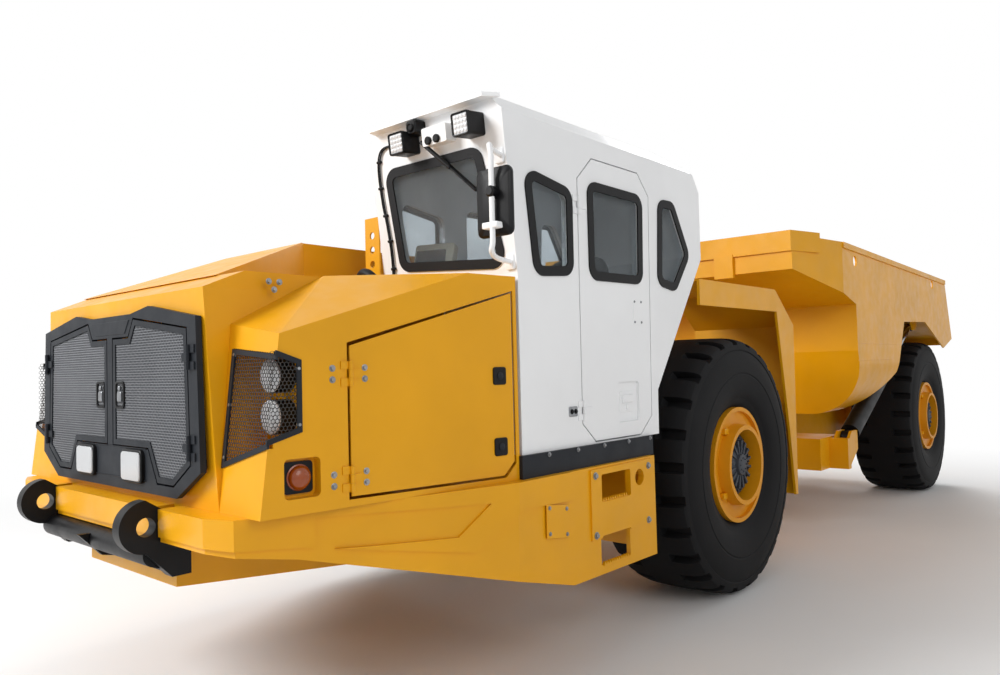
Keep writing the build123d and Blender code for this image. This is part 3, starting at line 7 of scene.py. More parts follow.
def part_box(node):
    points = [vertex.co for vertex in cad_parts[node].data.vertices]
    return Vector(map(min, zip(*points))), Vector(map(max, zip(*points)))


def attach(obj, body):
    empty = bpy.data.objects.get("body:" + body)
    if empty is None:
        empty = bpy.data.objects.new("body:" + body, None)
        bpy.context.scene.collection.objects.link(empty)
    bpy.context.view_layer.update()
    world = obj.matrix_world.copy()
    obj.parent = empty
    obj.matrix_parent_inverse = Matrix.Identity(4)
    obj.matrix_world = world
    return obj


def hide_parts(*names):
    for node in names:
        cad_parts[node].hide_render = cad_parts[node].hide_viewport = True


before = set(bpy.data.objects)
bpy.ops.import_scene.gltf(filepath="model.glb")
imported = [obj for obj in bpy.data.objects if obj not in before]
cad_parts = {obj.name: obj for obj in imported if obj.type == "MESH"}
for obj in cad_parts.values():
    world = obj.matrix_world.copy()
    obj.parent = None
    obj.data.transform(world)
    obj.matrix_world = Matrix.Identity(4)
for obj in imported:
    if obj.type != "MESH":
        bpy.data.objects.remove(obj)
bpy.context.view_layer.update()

# Looks for the articulated underground dump truck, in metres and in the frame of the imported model. The truck
# faces -Y and its left side is +X. Places along Y are written from the front axle, rearward positive.

RIM_LOW, RIM_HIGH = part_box("rim_front_left")
FRONT_AXLE_Y = RIM_LOW[1] / 2 + RIM_HIGH[1] / 2
SIDES = ((1, "left"), (-1, "right"))

# Camera, as the photograph was taken
CAMERA_AT = (3.669, FRONT_AXLE_Y - 5.137, 1.597)
CAMERA_YAW = math.radians(41.284)
CAMERA_PITCH = math.radians(2.0516)
CAMERA_ROLL = math.radians(-1.4445)
SENSOR = 36.0
IMAGE_WIDTH = 1000
FOCAL_PIXELS = 780.0

# Paint and other colours, as sRGB
YELLOW = (234, 166, 6)
# The rims' yellow is the body's yellow made darker: painted shade on the wheels
RIM_SHADED_YELLOW = (226, 152, 8)
WHITE = (243, 244, 245)
LAMP_WHITE = (225, 226, 228)
GLASS_WHITE = (226, 228, 230)
GLASS_TINT = (215, 222, 226)
MIRROR_GREY = (225, 228, 230)
RUBBER = (7, 7, 9)
BLACK = (13, 13, 15)
DARK_GREY = (38, 41, 46)
HUB_GREY = (62, 66, 74)
CLOTH_GREY = (48, 48, 50)
WIRE_GREY = (128, 130, 134)
GUARD_GREY = (52, 50, 48)
SCREEN_GREY = (24, 28, 34)
FLOOR_GREY = (246, 246, 246)
STEEL = (160, 162, 165)
AMBER = (150, 66, 12)
CREAM = (205, 196, 176)

# Scale of the noise in each finish, and what dust adds to the roughness of paint
PAINT_PATCHES = 1.7
PAINT_DUST = 9.0
DUST_ROUGHNESS = 0.14
ORANGE_PEEL = 60.0
RUBBER_DUST = 3.5
RUBBER_GRAIN = 90.0
METAL_WEAR = 25.0
METAL_GRAIN = 200.0
GLASS_SMOKE = 2.0
FLOOR_PATCHES = 0.6
LENS_RIBS = 130.0


def linear(colour):
    """Linear RGBA of an sRGB colour given as three numbers up to 255."""
    parts = [c / 255 for c in colour]
    return tuple(c / 12.92 if c < 0.04045 else ((c + 0.055) / 1.055) ** 2.4 for c in parts) + (1.0,)


def shaded(colour, share, lift=0.0):
    """Linear colour made darker or lighter by a share, then lifted."""
    return tuple(c * share + lift for c in colour[:3]) + (1.0,)


def new_material(name):
    """Node material with its surface shader and the position of a point."""
    material = bpy.data.materials.new(name)
    material.use_nodes = True
    nodes = material.node_tree.nodes
    shader = nodes["Principled BSDF"]
    place = nodes.new("ShaderNodeNewGeometry").outputs["Position"]
    return material, shader, place


def noise(material, place, scale, detail=4.0):
    node = material.node_tree.nodes.new("ShaderNodeTexNoise")
    node.inputs["Scale"].default_value = scale
    node.inputs["Detail"].default_value = detail
    material.node_tree.links.new(place, node.inputs["Vector"])
    return node.outputs["Fac"]


def ramp(material, value, low, high, target, stops=(0.35, 0.65)):
    """Lead into the target a colour that runs from low to high between two stops of the value."""
    node = material.node_tree.nodes.new("ShaderNodeValToRGB")
    first, last = node.color_ramp.elements
    first.position, last.position = stops
    first.color, last.color = low, high
    material.node_tree.links.new(value, node.inputs["Fac"])
    material.node_tree.links.new(node.outputs["Color"], target)


def bump(material, shader, value, distance, strength=0.5):
    node = material.node_tree.nodes.new("ShaderNodeBump")
    node.inputs["Distance"].default_value = distance
    node.inputs["Strength"].default_value = strength
    material.node_tree.links.new(value, node.inputs["Height"])
    material.node_tree.links.new(node.outputs["Normal"], shader.inputs["Normal"])


def painted(name, colour, roughness=0.35, dirt=0.90, coat=0.12, grain=0.0004, shine=0.28):
    """Sprayed paint: slow shifts of colour, patches of dust that dull it, and a fine orange peel."""
    material, shader, place = new_material(name)
    base = linear(colour)
    clean = (roughness,) * 3 + (1,)
    dusty = (roughness + DUST_ROUGHNESS,) * 3 + (1,)
    patches = noise(material, place, PAINT_PATCHES)
    ramp(material, patches, shaded(base, dirt), base, shader.inputs["Base Color"])
    ramp(material, noise(material, place, PAINT_DUST), clean, dusty, shader.inputs["Roughness"])
    bump(material, shader, noise(material, place, ORANGE_PEEL, 2.0), grain)
    shader.inputs["Coat Weight"].default_value = coat
    shader.inputs["Coat Roughness"].default_value = 0.15
    shader.inputs["Specular IOR Level"].default_value = shine
    return material


def rubber(name, colour, roughness=0.75):
    """Grained rubber or cloth with paler dust on it."""
    material, shader, place = new_material(name)
    base = linear(colour)
    dust = noise(material, place, RUBBER_DUST, 8.0)
    ramp(material, dust, base, shaded(base, 1.6, 0.0018), shader.inputs["Base Color"], (0.45, 0.8))
    bump(material, shader, noise(material, place, RUBBER_GRAIN, 6.0), 0.002)
    shader.inputs["Roughness"].default_value = roughness
    shader.inputs["Specular IOR Level"].default_value = 0.22
    return material


def bare_metal(name, colour, roughness=0.3):
    material, shader, place = new_material(name)
    base = linear(colour)
    ramp(material, noise(material, place, METAL_WEAR), shaded(base, 0.7), base, shader.inputs["Base Color"])
    bump(material, shader, noise(material, place, METAL_GRAIN), 0.0004)
    shader.inputs["Metallic"].default_value = 1.0
    shader.inputs["Roughness"].default_value = roughness
    return material


def lens(name, colour):
    """Lamp glass: a fine wave pressed into a pale, shiny face, made darker in its troughs as painted shade."""
    material, shader, place = new_material(name)
    tree = material.node_tree
    wave = tree.nodes.new("ShaderNodeTexWave")
    wave.inputs["Scale"].default_value = LENS_RIBS
    wave.inputs["Distortion"].default_value = 1.5
    tree.links.new(place, wave.inputs["Vector"])
    base = linear(colour)
    # Painted shade: the colour is darker where the wave is low, in the troughs of the ribs
    ramp(material, wave.outputs["Fac"], shaded(base, 0.72), base, shader.inputs["Base Color"], (0.1, 0.9))
    bump(material, shader, wave.outputs["Fac"], 0.002)
    shader.inputs["Roughness"].default_value = 0.12
    return material


def clear_glass(name, tint):
    material, shader, place = new_material(name)
    base = linear(tint)
    ramp(material, noise(material, place, GLASS_SMOKE), shaded(base, 0.8), base, shader.inputs["Base Color"])
    shader.inputs["Roughness"].default_value = 0.03
    shader.inputs["Transmission Weight"].default_value = 0.93
    shader.inputs["IOR"].default_value = 1.1
    return material


yellow_paint = painted("yellow_paint", YELLOW)
# Paint of the rims: its yellow is darker than the body's as painted shade
rim_shaded_paint = painted("rim_shaded_paint", RIM_SHADED_YELLOW, roughness=0.45)
white_paint = painted("white_paint", WHITE, roughness=0.4, dirt=0.96)
dark_paint = painted("dark_grey_paint", DARK_GREY, roughness=0.4, dirt=0.8, coat=0.0, shine=0.16)
black_paint = painted("black_paint", BLACK, roughness=0.38, dirt=0.7, coat=0.05, shine=0.2)
tyre_rubber = rubber("tyre_rubber", RUBBER)
seal_rubber = rubber("seal_rubber", BLACK, 0.55)
polished_rod = bare_metal("polished_rod", STEEL, 0.15)
bolt_steel = bare_metal("bolt_steel", STEEL, 0.35)
window_glass = clear_glass("window_glass", GLASS_TINT)
amber_lens = painted("amber_lens", AMBER, roughness=0.15, coat=0.6)
lamp_face = painted("lamp_face", LAMP_WHITE, roughness=0.15, coat=0.6)
ribbed_glass = lens("ribbed_glass", GLASS_WHITE)
seat_cloth = rubber("seat_cloth", CLOTH_GREY, 0.9)
hub_paint = painted("hub_grey_paint", HUB_GREY, roughness=0.5, dirt=0.7)
mesh_wire = painted("mesh_wire", WIRE_GREY, roughness=0.45, dirt=0.8)
guard_wire = painted("guard_wire", GUARD_GREY, roughness=0.5, dirt=0.8)
mirror_silver = bare_metal("mirror_silver", MIRROR_GREY, 0.05)
cream_plastic = painted("cream_plastic", CREAM, roughness=0.5, dirt=0.93, coat=0.0)
dark_glass = painted("screen_glass", SCREEN_GREY, roughness=0.1, dirt=0.8, coat=0.5)

# Finish of the solids, by the start of the node's name; all others are yellow
NODE_MATERIALS = {
    "tyre": tyre_rubber,
    "rim": rim_shaded_paint,
    "cab_glass": window_glass,
    "door_glass": window_glass,
    "cab_shell": white_paint,
    "cab_door": white_paint,
    "cab_console": dark_paint,
    "window_seals": seal_rubber,
    "door_seal": seal_rubber,
    "skirt_flap": dark_paint,
    "driver_seat": seat_cloth,
    "grille": dark_paint,
    "tow_crossmember": black_paint,
    "engine_block": dark_paint,
    "steer_rod": polished_rod,
    "hoist_rod": polished_rod,
    "steer_barrel": black_paint,
    "hoist_barrel": black_paint,
    "work_lamps": black_paint,
    "turn_signals": black_paint,
}

for node_name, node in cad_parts.items():
    chosen = yellow_paint
    for start, material in NODE_MATERIALS.items():
        if node_name.startswith(start):
            chosen = material
    for slot in node.material_slots:
        slot.material = chosen


# Camera
def camera_turn():
    """Rotation whose columns are the camera's right, its up and the way back from the view."""
    ahead = Vector((
        -math.sin(CAMERA_YAW) * math.cos(CAMERA_PITCH),
        math.cos(CAMERA_YAW) * math.cos(CAMERA_PITCH),
        math.sin(CAMERA_PITCH),
    ))
    right = ahead.cross(Vector((0, 0, 1))).normalized()
    up = right.cross(ahead)
    rolled_right = right * math.cos(CAMERA_ROLL) + up * math.sin(CAMERA_ROLL)
    rolled_up = up * math.cos(CAMERA_ROLL) - right * math.sin(CAMERA_ROLL)
    return Matrix((rolled_right, rolled_up, -ahead)).transposed()


camera_data = bpy.data.cameras.new("camera")
camera_data.sensor_width = SENSOR
camera_data.lens = FOCAL_PIXELS * SENSOR / IMAGE_WIDTH
camera = bpy.data.objects.new("camera", camera_data)
camera.matrix_world = Matrix.Translation(CAMERA_AT) @ camera_turn().to_4x4()
bpy.context.collection.objects.link(camera)
bpy.context.scene.camera = camera

# Floor, world and lamps
FLOOR_REACH = 30.0
FLOOR_FADE = (4.5, 9.0)
WORLD_LIGHT = 0.42
WORLD_SEEN = 1.0
LAMP_TARGET = (0, 0, 1.2)


def larger_of(tree, first, second):
    node = tree.nodes.new("ShaderNodeMath")
    node.operation = "MAXIMUM"
    tree.links.new(first, node.inputs[0])
    tree.links.new(second, node.inputs[1])
    return node.outputs[0]


def floor_material():
    """Pale ground that fades to plain white for the camera, away from the truck."""
    material, shader, place = new_material("pale_floor")
    tree = material.node_tree
    base = linear(FLOOR_GREY)
    patches = noise(material, place, FLOOR_PATCHES)
    ramp(material, patches, shaded(base, 0.97), base, shader.inputs["Base Color"])
    shader.inputs["Roughness"].default_value = 0.9
    distance = tree.nodes.new("ShaderNodeVectorMath")
    distance.operation = "LENGTH"
    tree.links.new(place, distance.inputs[0])
    far = tree.nodes.new("ShaderNodeMapRange")
    far.inputs["From Min"].default_value, far.inputs["From Max"].default_value = FLOOR_FADE
    tree.links.new(distance.outputs["Value"], far.inputs["Value"])
    seen = tree.nodes.new("ShaderNodeLightPath")
    shown = tree.nodes.new("ShaderNodeMath")
    shown.operation = "MULTIPLY"
    tree.links.new(far.outputs["Result"], shown.inputs[0])
    tree.links.new(seen.outputs["Is Camera Ray"], shown.inputs[1])
    white = tree.nodes.new("ShaderNodeEmission")
    mixed = tree.nodes.new("ShaderNodeMixShader")
    tree.links.new(shown.outputs[0], mixed.inputs[0])
    tree.links.new(shader.outputs[0], mixed.inputs[1])
    tree.links.new(white.outputs[0], mixed.inputs[2])
    tree.links.new(mixed.outputs[0], tree.nodes["Material Output"].inputs["Surface"])
    return material


def pale_floor():
    mesh = bpy.data.meshes.new("floor")
    corners = [(x * FLOOR_REACH, y * FLOOR_REACH, 0) for x, y in ((-1, -1), (1, -1), (1, 1), (-1, 1))]
    mesh.from_pydata(corners, [], [(0, 1, 2, 3)])
    mesh.materials.append(floor_material())
    floor = bpy.data.objects.new("floor", mesh)
    bpy.context.collection.objects.link(floor)


def white_world():
    """White where it is seen, straight, mirrored or through glass, and dimmer as a light."""
    world = bpy.data.worlds.new("studio")
    bpy.context.scene.world = world
    world.use_nodes = True
    tree = world.node_tree
    background = tree.nodes["Background"]
    path = tree.nodes.new("ShaderNodeLightPath").outputs
    seen = larger_of(tree, path["Is Camera Ray"], path["Is Transmission Ray"])
    shown = larger_of(tree, seen, path["Is Glossy Ray"])
    strength = tree.nodes.new("ShaderNodeMix")
    strength.inputs["A"].default_value = WORLD_LIGHT
    strength.inputs["B"].default_value = WORLD_SEEN
    tree.links.new(shown, strength.inputs["Factor"])
    tree.links.new(strength.outputs["Result"], background.inputs["Strength"])
    background.inputs["Color"].default_value = (1, 1, 1, 1)


def soft_lamp(name, place, size, power):
    data = bpy.data.lights.new(name, "AREA")
    data.shape = "DISK"
    data.size = size
    data.energy = power
    lamp = bpy.data.objects.new(name, data)
    lamp.location = place
    lamp.rotation_euler = (Vector(LAMP_TARGET) - Vector(place)).to_track_quat("-Z", "Y").to_euler()
    bpy.context.collection.objects.link(lamp)


pale_floor()
white_world()
soft_lamp("key", (-4.5, -12.0, 8.0), 5.0, 1300)
soft_lamp("fill", (10.0, -5.0, 6.0), 6.0, 230)
soft_lamp("back", (-2.0, 10.0, 8.0), 5.0, 520)

# Directions
LEFT = (1, 0, 0)
REARWARD = (0, 1, 0)
FORWARD = (0, -1, 0)
UP = (0, 0, 1)


def at(x, y, z):
    """Place on the truck: x to the left, y rearward from the front axle, z up from the ground."""
    return Vector((x, FRONT_AXLE_Y + y, z))


class Face:
    """A flat side of the truck: a point on it, the steps of its two directions, and the way out."""

    def __init__(self, origin, across, up, out):
        self.origin = Vector(origin)
        self.across = Vector(across)
        self.up = Vector(up)
        self.out = Vector(out).normalized()

    def at(self, u, v, out=0.0):
        return self.origin + self.across * u + self.up * v + self.out * out

    def moved(self, out):
        """The same face, further out by a distance."""
        return Face(self.at(0, 0, out), self.across, self.up, self.out)


# The truck's flat sides
BODY_HALF = 1.300
BUMPER_HALF = 1.360
BLOCK_FOLD_X = 1.155
BLOCK_FRONT = -3.600
BLOCK_REAR = -2.320
BLOCK_KNEE_Z = 1.0603
BLOCK_LEAN = math.tan(math.radians(7))
BLOCK_SLOPE = (BODY_HALF - BLOCK_FOLD_X) / (BLOCK_REAR - BLOCK_FRONT)
CAB_FRONT = -2.300
CAB_KNEE_Z = 2.040
CAB_LEAN = 0.1 / 0.86
GRILLE_FRONT = -3.647


def side_face(x, hand=1):
    return Face(at(hand * x, 0, 0), REARWARD, UP, (hand, 0, 0))


def block_side(hand):
    """Side of a front block, which runs inward to the front."""
    foot = BLOCK_FOLD_X - BLOCK_FRONT * BLOCK_SLOPE
    return Face(at(hand * foot, 0, 0), (hand * BLOCK_SLOPE, 1, 0), UP, (hand, -BLOCK_SLOPE, 0))


def front_face(x, y, z):
    return Face(at(x, y, z), LEFT, UP, FORWARD)


def top_face(z):
    return Face(at(0, 0, z), LEFT, REARWARD, UP)


def leaning_face(y, lean):
    """Face across the front by its place at ground level, which moves rearward by a slope as it rises."""
    return Face(at(0, y, 0), LEFT, (0, lean, 1), (0, -1, lean))


BLOCK_FACE = leaning_face(BLOCK_FRONT - BLOCK_KNEE_Z * BLOCK_LEAN, BLOCK_LEAN)
WINDSHIELD = leaning_face(CAB_FRONT + CAB_KNEE_Z * CAB_LEAN, -CAB_LEAN)
CAB_SIDE = side_face(BODY_HALF)
GRILLE_FACE = front_face(0, GRILLE_FRONT, 0)
LEVEL = top_face(0)


# Mesh making
class Shape:
    """Points and faces gathered from rings, joined at the end into one piece."""

    def __init__(self):
        self.points = []
        self.faces = []

    def loft(self, rings, capped=True):
        """Skin over rings of points: with a cap at each end, or joined from the last ring to the first."""
        start = len(self.points)
        count = len(rings[0])
        for points in rings:
            self.points.extend(points)
        for row in range(len(rings) - 1 if capped else len(rings)):
            low = start + row * count
            high = start + (row + 1) % len(rings) * count
            for i in range(count):
                j = (i + 1) % count
                self.faces.append((low + i, low + j, high + j, high + i))
        if capped:
            last = start + (len(rings) - 1) * count
            self.faces.append(tuple(start + i for i in reversed(range(count))))
            self.faces.append(tuple(last + i for i in range(count)))

    def slab(self, face, outline, low, high, edge=0.0):
        """Plate on a face from one height to another, its outer edge bevelled."""
        rings = [[face.at(u, v, low) for u, v in outline]]
        if edge:
            rings.append([face.at(u, v, high - edge) for u, v in outline])
        rings.append([face.at(u, v, high) for u, v in (inset(outline, edge) if edge else outline)])
        self.loft(rings)

    def plate(self, face, u, v, size, heights, steps=4):
        """Rounded plate: its size is width, height and corner radius, its heights are foot, top and bevel."""
        self.slab(face, rounded(u, v, *size, steps), *heights)

    def layered(self, face, u, v, layers, steps=4):
        """Rounded rectangles on a face, each by width, height, corner radius and height above the face."""
        self.loft([
            [face.at(a, b, out) for a, b in rounded(u, v, width, height, radius, steps)]
            for width, height, radius, out in layers
        ])

    def turned(self, face, u, v, profile, count=16, turn=0.0):
        """Solid of revolution on a face: the profile is pairs of radius and height."""
        across = face.across.normalized()
        up = face.out.cross(across)
        middle = face.at(u, v)
        self.loft([
            ring(middle + face.out * height, across, up, radius, count, turn)
            for radius, height in profile
        ])

    def tube(self, path, radius, count=10):
        """Round bar along a path, its rings kept from twisting."""
        rings = []
        across = None
        for i, point in enumerate(path):
            ahead = (path[min(i + 1, len(path) - 1)] - path[max(i - 1, 0)]).normalized()
            across = (across - ahead * across.dot(ahead) if rings else ahead.orthogonal()).normalized()
            rings.append(ring(point, across, ahead.cross(across), radius, count))
        self.loft(rings)

    def make(self, name, material, body, smooth=35.0):
        """Piece that rides a body; edges that bend by less than the angle are shaded smooth."""
        mesh = bpy.data.meshes.new(name)
        mesh.from_pydata([tuple(p) for p in self.points], [], self.faces)
        mesh.validate()
        tidy = bmesh.new()
        tidy.from_mesh(mesh)
        bmesh.ops.recalc_face_normals(tidy, faces=tidy.faces)
        tidy.to_mesh(mesh)
        tidy.free()
        if smooth:
            mesh.shade_smooth()
            mesh.set_sharp_from_angle(angle=math.radians(smooth))
        mesh.materials.append(material)
        piece = bpy.data.objects.new(name, mesh)
        bpy.context.collection.objects.link(piece)
        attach(piece, body)
        return piece


def ring(middle, across, up, radius, count, turn=0.0):
    steps = [2 * math.pi * i / count + turn for i in range(count)]
    return [middle + across * (radius * math.cos(a)) + up * (radius * math.sin(a)) for a in steps]


def smooth_path(points, cuts=8):
    """Points on a smooth curve through the given ones."""
    ends = [2 * points[0] - points[1]] + list(points) + [2 * points[-1] - points[-2]]
    path = []
    for a, b, c, d in zip(ends, ends[1:], ends[2:], ends[3:]):
        for step in range(cuts):
            t = step / cuts
            straight = 2 * b + (c - a) * t
            bend = (2 * a - 5 * b + 4 * c - d) * t ** 2
            swing = (3 * b - a - 3 * c + d) * t ** 3
            path.append(0.5 * (straight + bend + swing))
    return path + [points[-1]]


def inset(outline, amount):
    """Closed outline moved inward by an amount, corners kept sharp."""
    area = sum(a[0] * b[1] - b[0] * a[1] for a, b in zip(outline, outline[1:] + outline[:1]))
    sign = 1 if area > 0 else -1
    moved = []
    for before, here, after in zip(outline[-1:] + outline[:-1], outline, outline[1:] + outline[:1]):
        first = (Vector(here) - Vector(before)).normalized()
        second = (Vector(after) - Vector(here)).normalized()
        bend = Vector((-first.y - second.y, first.x + second.x))
        reach = max(0.2, 1 + first.dot(second))
        moved.append(tuple(Vector(here) + bend * (sign * amount / reach)))
    return moved


def rounded(u, v, width, height, radius, steps=4):
    """Rectangle with round corners, by its middle."""
    corners = ((1, 1, 0), (-1, 1, 90), (-1, -1, 180), (1, -1, 270))
    return [
        (u + sx * (width / 2 - radius) + radius * math.cos(math.radians(start + 90 * i / steps)),
         v + sy * (height / 2 - radius) + radius * math.sin(math.radians(start + 90 * i / steps)))
        for sx, sy, start in corners for i in range(steps + 1)
    ]


def mirrored(outline, hand):
    return [(hand * u, v) for u, v in outline]


def inside(outline, u, v):
    crossings = 0
    for (u0, v0), (u1, v1) in zip(outline, outline[1:] + outline[:1]):
        if (v0 > v) != (v1 > v) and u < u0 + (u1 - u0) * (v - v0) / (v1 - v0):
            crossings += 1
    return crossings % 2 == 1


def honeycomb(shape, face, outline, pitch, strand, low, high):
    """Wire mesh of six-sided cells that fills an outline on a face."""
    room = inset(outline, pitch * 0.3)
    us = [u for u, v in outline]
    vs = [v for u, v in outline]
    row_step = pitch * math.sqrt(3) / 2
    corners = [(math.sin(math.pi * i / 3), math.cos(math.pi * i / 3)) for i in range(6)]
    outer = pitch / math.sqrt(3)
    section = ((outer, high), (outer - strand, high), (outer - strand, low), (outer, low))
    row = 0
    v = min(vs)
    while v < max(vs):
        u = min(us) + (row % 2) * pitch / 2
        while u < max(us):
            if inside(room, u, v):
                rings = [[face.at(u + s * r, v + c * r, h) for s, c in corners] for r, h in section]
                shape.loft(rings, capped=False)
            u += pitch
        v += row_step
        row += 1


def screws(name, places, size, body, material=bolt_steel):
    """Hexagon bolts on their washers, one at each (face, u, v), in proportion to the head's radius."""
    washer = [(size * 1.5, -0.001), (size * 1.5, size * 0.25), (size * 1.4, size * 0.3)]
    head = [(size, 0), (size, size * 0.85), (size * 0.85, size * 1.05)]
    shape = Shape()
    for face, u, v in places:
        shape.turned(face, u, v, washer, 14)
        shape.turned(face, u, v, head, 6, 0.4)
    return shape.make(name, material, body, None)


# In the sections below a size is width, height and corner radius, heights are foot, top and bevel above a
# face, and a turned profile is pairs of radius and height. The size of a screw is its head's radius.

# Tyres: round casing with staggered lugs, grooves between them and rings on the wall
TYRE_R = 0.875
LUGS = 26
GROOVE_FLOOR = 0.822
GROOVE_START = 0.13
GROOVE_WIDTH = 0.066
GROOVE_SHARE = GROOVE_WIDTH / (2 * math.pi * TYRE_R / LUGS)
GROOVE_RISE = 0.03
LUG_MIDDLE = 0.42
HALF_PITCH = 0.5
TREAD_SIDE = [(0.0, TYRE_R), (0.07, TYRE_R), (0.128, 0.8746), (0.145, 0.8742), (0.19, 0.873), (0.232, 0.869),
              (0.262, 0.862), (0.29, 0.852), (0.306, 0.842), (0.312, 0.828), (0.316, 0.806), (0.319, 0.79)]
WALL_SIDE = [(0.314, 0.784), (0.317, 0.775), (0.327, 0.745), (0.333, 0.70), (0.3365, 0.655), (0.3365, 0.632),
             (0.3325, 0.627), (0.3325, 0.621), (0.336, 0.616), (0.333, 0.575), (0.324, 0.52), (0.307, 0.468),
             (0.302, 0.462), (0.297, 0.448), (0.286, 0.425), (0.27, 0.402), (0.262, 0.394)]


def groove_depth(share):
    """1 in a groove and 0 on a lug, at a share of the way round one pitch."""
    share = share % 1.0
    if share < GROOVE_RISE:
        return share / GROOVE_RISE
    if share < GROOVE_SHARE:
        return 1.0
    if share < GROOVE_SHARE + GROOVE_RISE:
        return (GROOVE_SHARE + GROOVE_RISE - share) / GROOVE_RISE
    return 0.0


def half_section(hand, depth):
    """Section of one half of the tyre from the middle of the tread to the bead, cut by a groove."""
    half = []
    for x, r in TREAD_SIDE:
        if x > GROOVE_START and r > GROOVE_FLOOR:
            r -= depth * (r - GROOVE_FLOOR)
        half.append((hand * x, r))
    return half + [(hand * x, r) for x, r in WALL_SIDE]


def tyre_piece(name, axle, body):
    """Tyre casing in rings round the axle; the right half's grooves lie half a pitch from the left's."""
    edges = (0.0, GROOVE_RISE, GROOVE_SHARE / 2, GROOVE_SHARE, GROOVE_SHARE + GROOVE_RISE, LUG_MIDDLE)
    steps = sorted({round((base + edge) % 1.0, 4) for base in (0.0, HALF_PITCH) for edge in edges})
    shape = Shape()
    rings = []
    for pitch in range(LUGS):
        for step in steps:
            angle = 2 * math.pi * (pitch + step) / LUGS
            right = half_section(-1, groove_depth(step))
            left = half_section(1, groove_depth(step + HALF_PITCH))
            section = right[::-1] + left[1:]
            rings.append([axle + Vector((x, r * math.cos(angle), r * math.sin(angle))) for x, r in section])
    shape.loft(rings, capped=False)
    casing = shape.make(name, tyre_rubber, body, 32.0)
    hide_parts(name.replace("tyre_casing", "tyre"))


# Hub covers deep in the rims, and the stops on the rims round them
HUB_FOOT = 0.145
HUB_FLOOR = 0.272
HUB_TOP = 0.298
HUB_CONE = [(0.236, HUB_FOOT), (0.236, HUB_FOOT + 0.03), (0.212, HUB_FOOT + 0.05), (0.210, HUB_FLOOR - 0.006),
            (0.202, HUB_FLOOR), (0.150, HUB_FLOOR + 0.004), (0.118, HUB_TOP), (0.075, HUB_TOP + 0.004),
            (0.07, HUB_TOP + 0.022), (0.06, HUB_TOP + 0.026)]
HUB_RIBS = 16
RIB_INNER = 0.08
RIB_OUTER = 0.165
RIB_INNER_HALF = 0.006
RIB_OUTER_HALF = 0.010
RIB_TOP = HUB_TOP + 0.010
RIB_EDGE = 0.002
HUB_BOLT_RINGS = ((24, 0.182, 0.008, HUB_FLOOR + 0.002), (8, 0.045, 0.005, HUB_TOP + 0.026))
STOP_COUNT = 4
STOP_RADIUS = 0.302
STOP_START = 38
STOP_SIZE = (0.05, 0.04, 0.008)
STOP_HEIGHTS = (0.262, 0.302, 0.004)


def hub_cover(name, axle, hand, body):
    """Dark planetary cover: a cone with ribs, a ring of bolts and a boss in the middle."""
    face = Face(axle, REARWARD, UP, (hand, 0, 0))
    shape = Shape()
    shape.turned(face, 0, 0, HUB_CONE, 48)
    for i in range(HUB_RIBS):
        a = 2 * math.pi * (i + 0.5) / HUB_RIBS
        run = Vector((math.cos(a), math.sin(a)))
        wide = Vector((-math.sin(a), math.cos(a)))
        rib = [
            tuple(run * RIB_INNER - wide * RIB_INNER_HALF),
            tuple(run * RIB_INNER + wide * RIB_INNER_HALF),
            tuple(run * RIB_OUTER + wide * RIB_OUTER_HALF),
            tuple(run * RIB_OUTER - wide * RIB_OUTER_HALF),
        ]
        shape.slab(face, rib, HUB_FLOOR, RIB_TOP, RIB_EDGE)
    for count, radius, size, foot in HUB_BOLT_RINGS:
        head = [(size, foot - 0.01), (size, foot + size), (size * 0.7, foot + size * 1.3)]
        for i in range(count):
            a = 2 * math.pi * i / count
            shape.turned(face, radius * math.cos(a), radius * math.sin(a), head, 6)
    shape.make(name, hub_paint, body)
    stops = Shape()
    for i in range(STOP_COUNT):
        a = math.radians(STOP_START + 360 / STOP_COUNT * i)
        stops.plate(face, STOP_RADIUS * math.cos(a), STOP_RADIUS * math.sin(a), STOP_SIZE, STOP_HEIGHTS)
    stops.make(name.replace("hub_cover", "rim_stops"), yellow_paint, body)


for wheel in ("front_left", "front_right", "rear_left", "rear_right"):
    tyre_low, tyre_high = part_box(f"tyre_{wheel}")
    axle = Vector(((tyre_low[0] + tyre_high[0]) / 2, (tyre_low[1] + tyre_high[1]) / 2, TYRE_R))
    tyre_piece(f"tyre_casing_{wheel}", axle, f"wheel_{wheel}")
    hub_cover(f"hub_cover_{wheel}", axle, 1 if wheel.endswith("left") else -1, f"wheel_{wheel}")

# Grille: wire mesh in the two doors, flush handles with their catches, and the lamps below
DOOR_MESH = [(0.034, 1.288), (0.380, 1.288), (0.460, 1.148), (0.597, 1.148), (0.737, 1.239), (0.714, 1.774),
             (0.243, 1.836), (0.193, 1.757), (0.034, 1.757)]
DOOR_BAR = 0.021
DOOR_PITCH = 0.013
DOOR_STRAND = 0.0019
DOOR_HEIGHTS = (-0.008, -0.0045)
HANDLE_X = 0.102
HANDLE_Z = 1.508
HANDLE_CUP = ((0.092, 0.122, 0.020, -0.008), (0.092, 0.122, 0.020, 0.002), (0.074, 0.104, 0.014, 0.003),
              (0.068, 0.098, 0.012, -0.005))
CATCH_DROP = 0.008
CATCH_SIZE = (0.040, 0.044, 0.008)
CATCH_HEIGHTS = (-0.005, 0.004, 0.002)
KNOB_RISE = 0.030
KNOB = [(0.010, -0.005), (0.010, 0.003), (0.008, 0.005)]
LOW_LAMP_X = 0.246
LOW_LAMP_Z = 1.205
BEZEL_SIZE = (0.196, 0.142, 0.024)
BEZEL_HEIGHTS = (-0.002, 0.016, 0.003)
LOW_GLASS_SIZE = (0.176, 0.122, 0.018)
LOW_GLASS_HEIGHTS = (0.010, 0.022, 0.003)
GRILLE_PLATE = [(-0.205, 1.838), (-0.16, 1.778), (0.16, 1.778), (0.205, 1.838)]
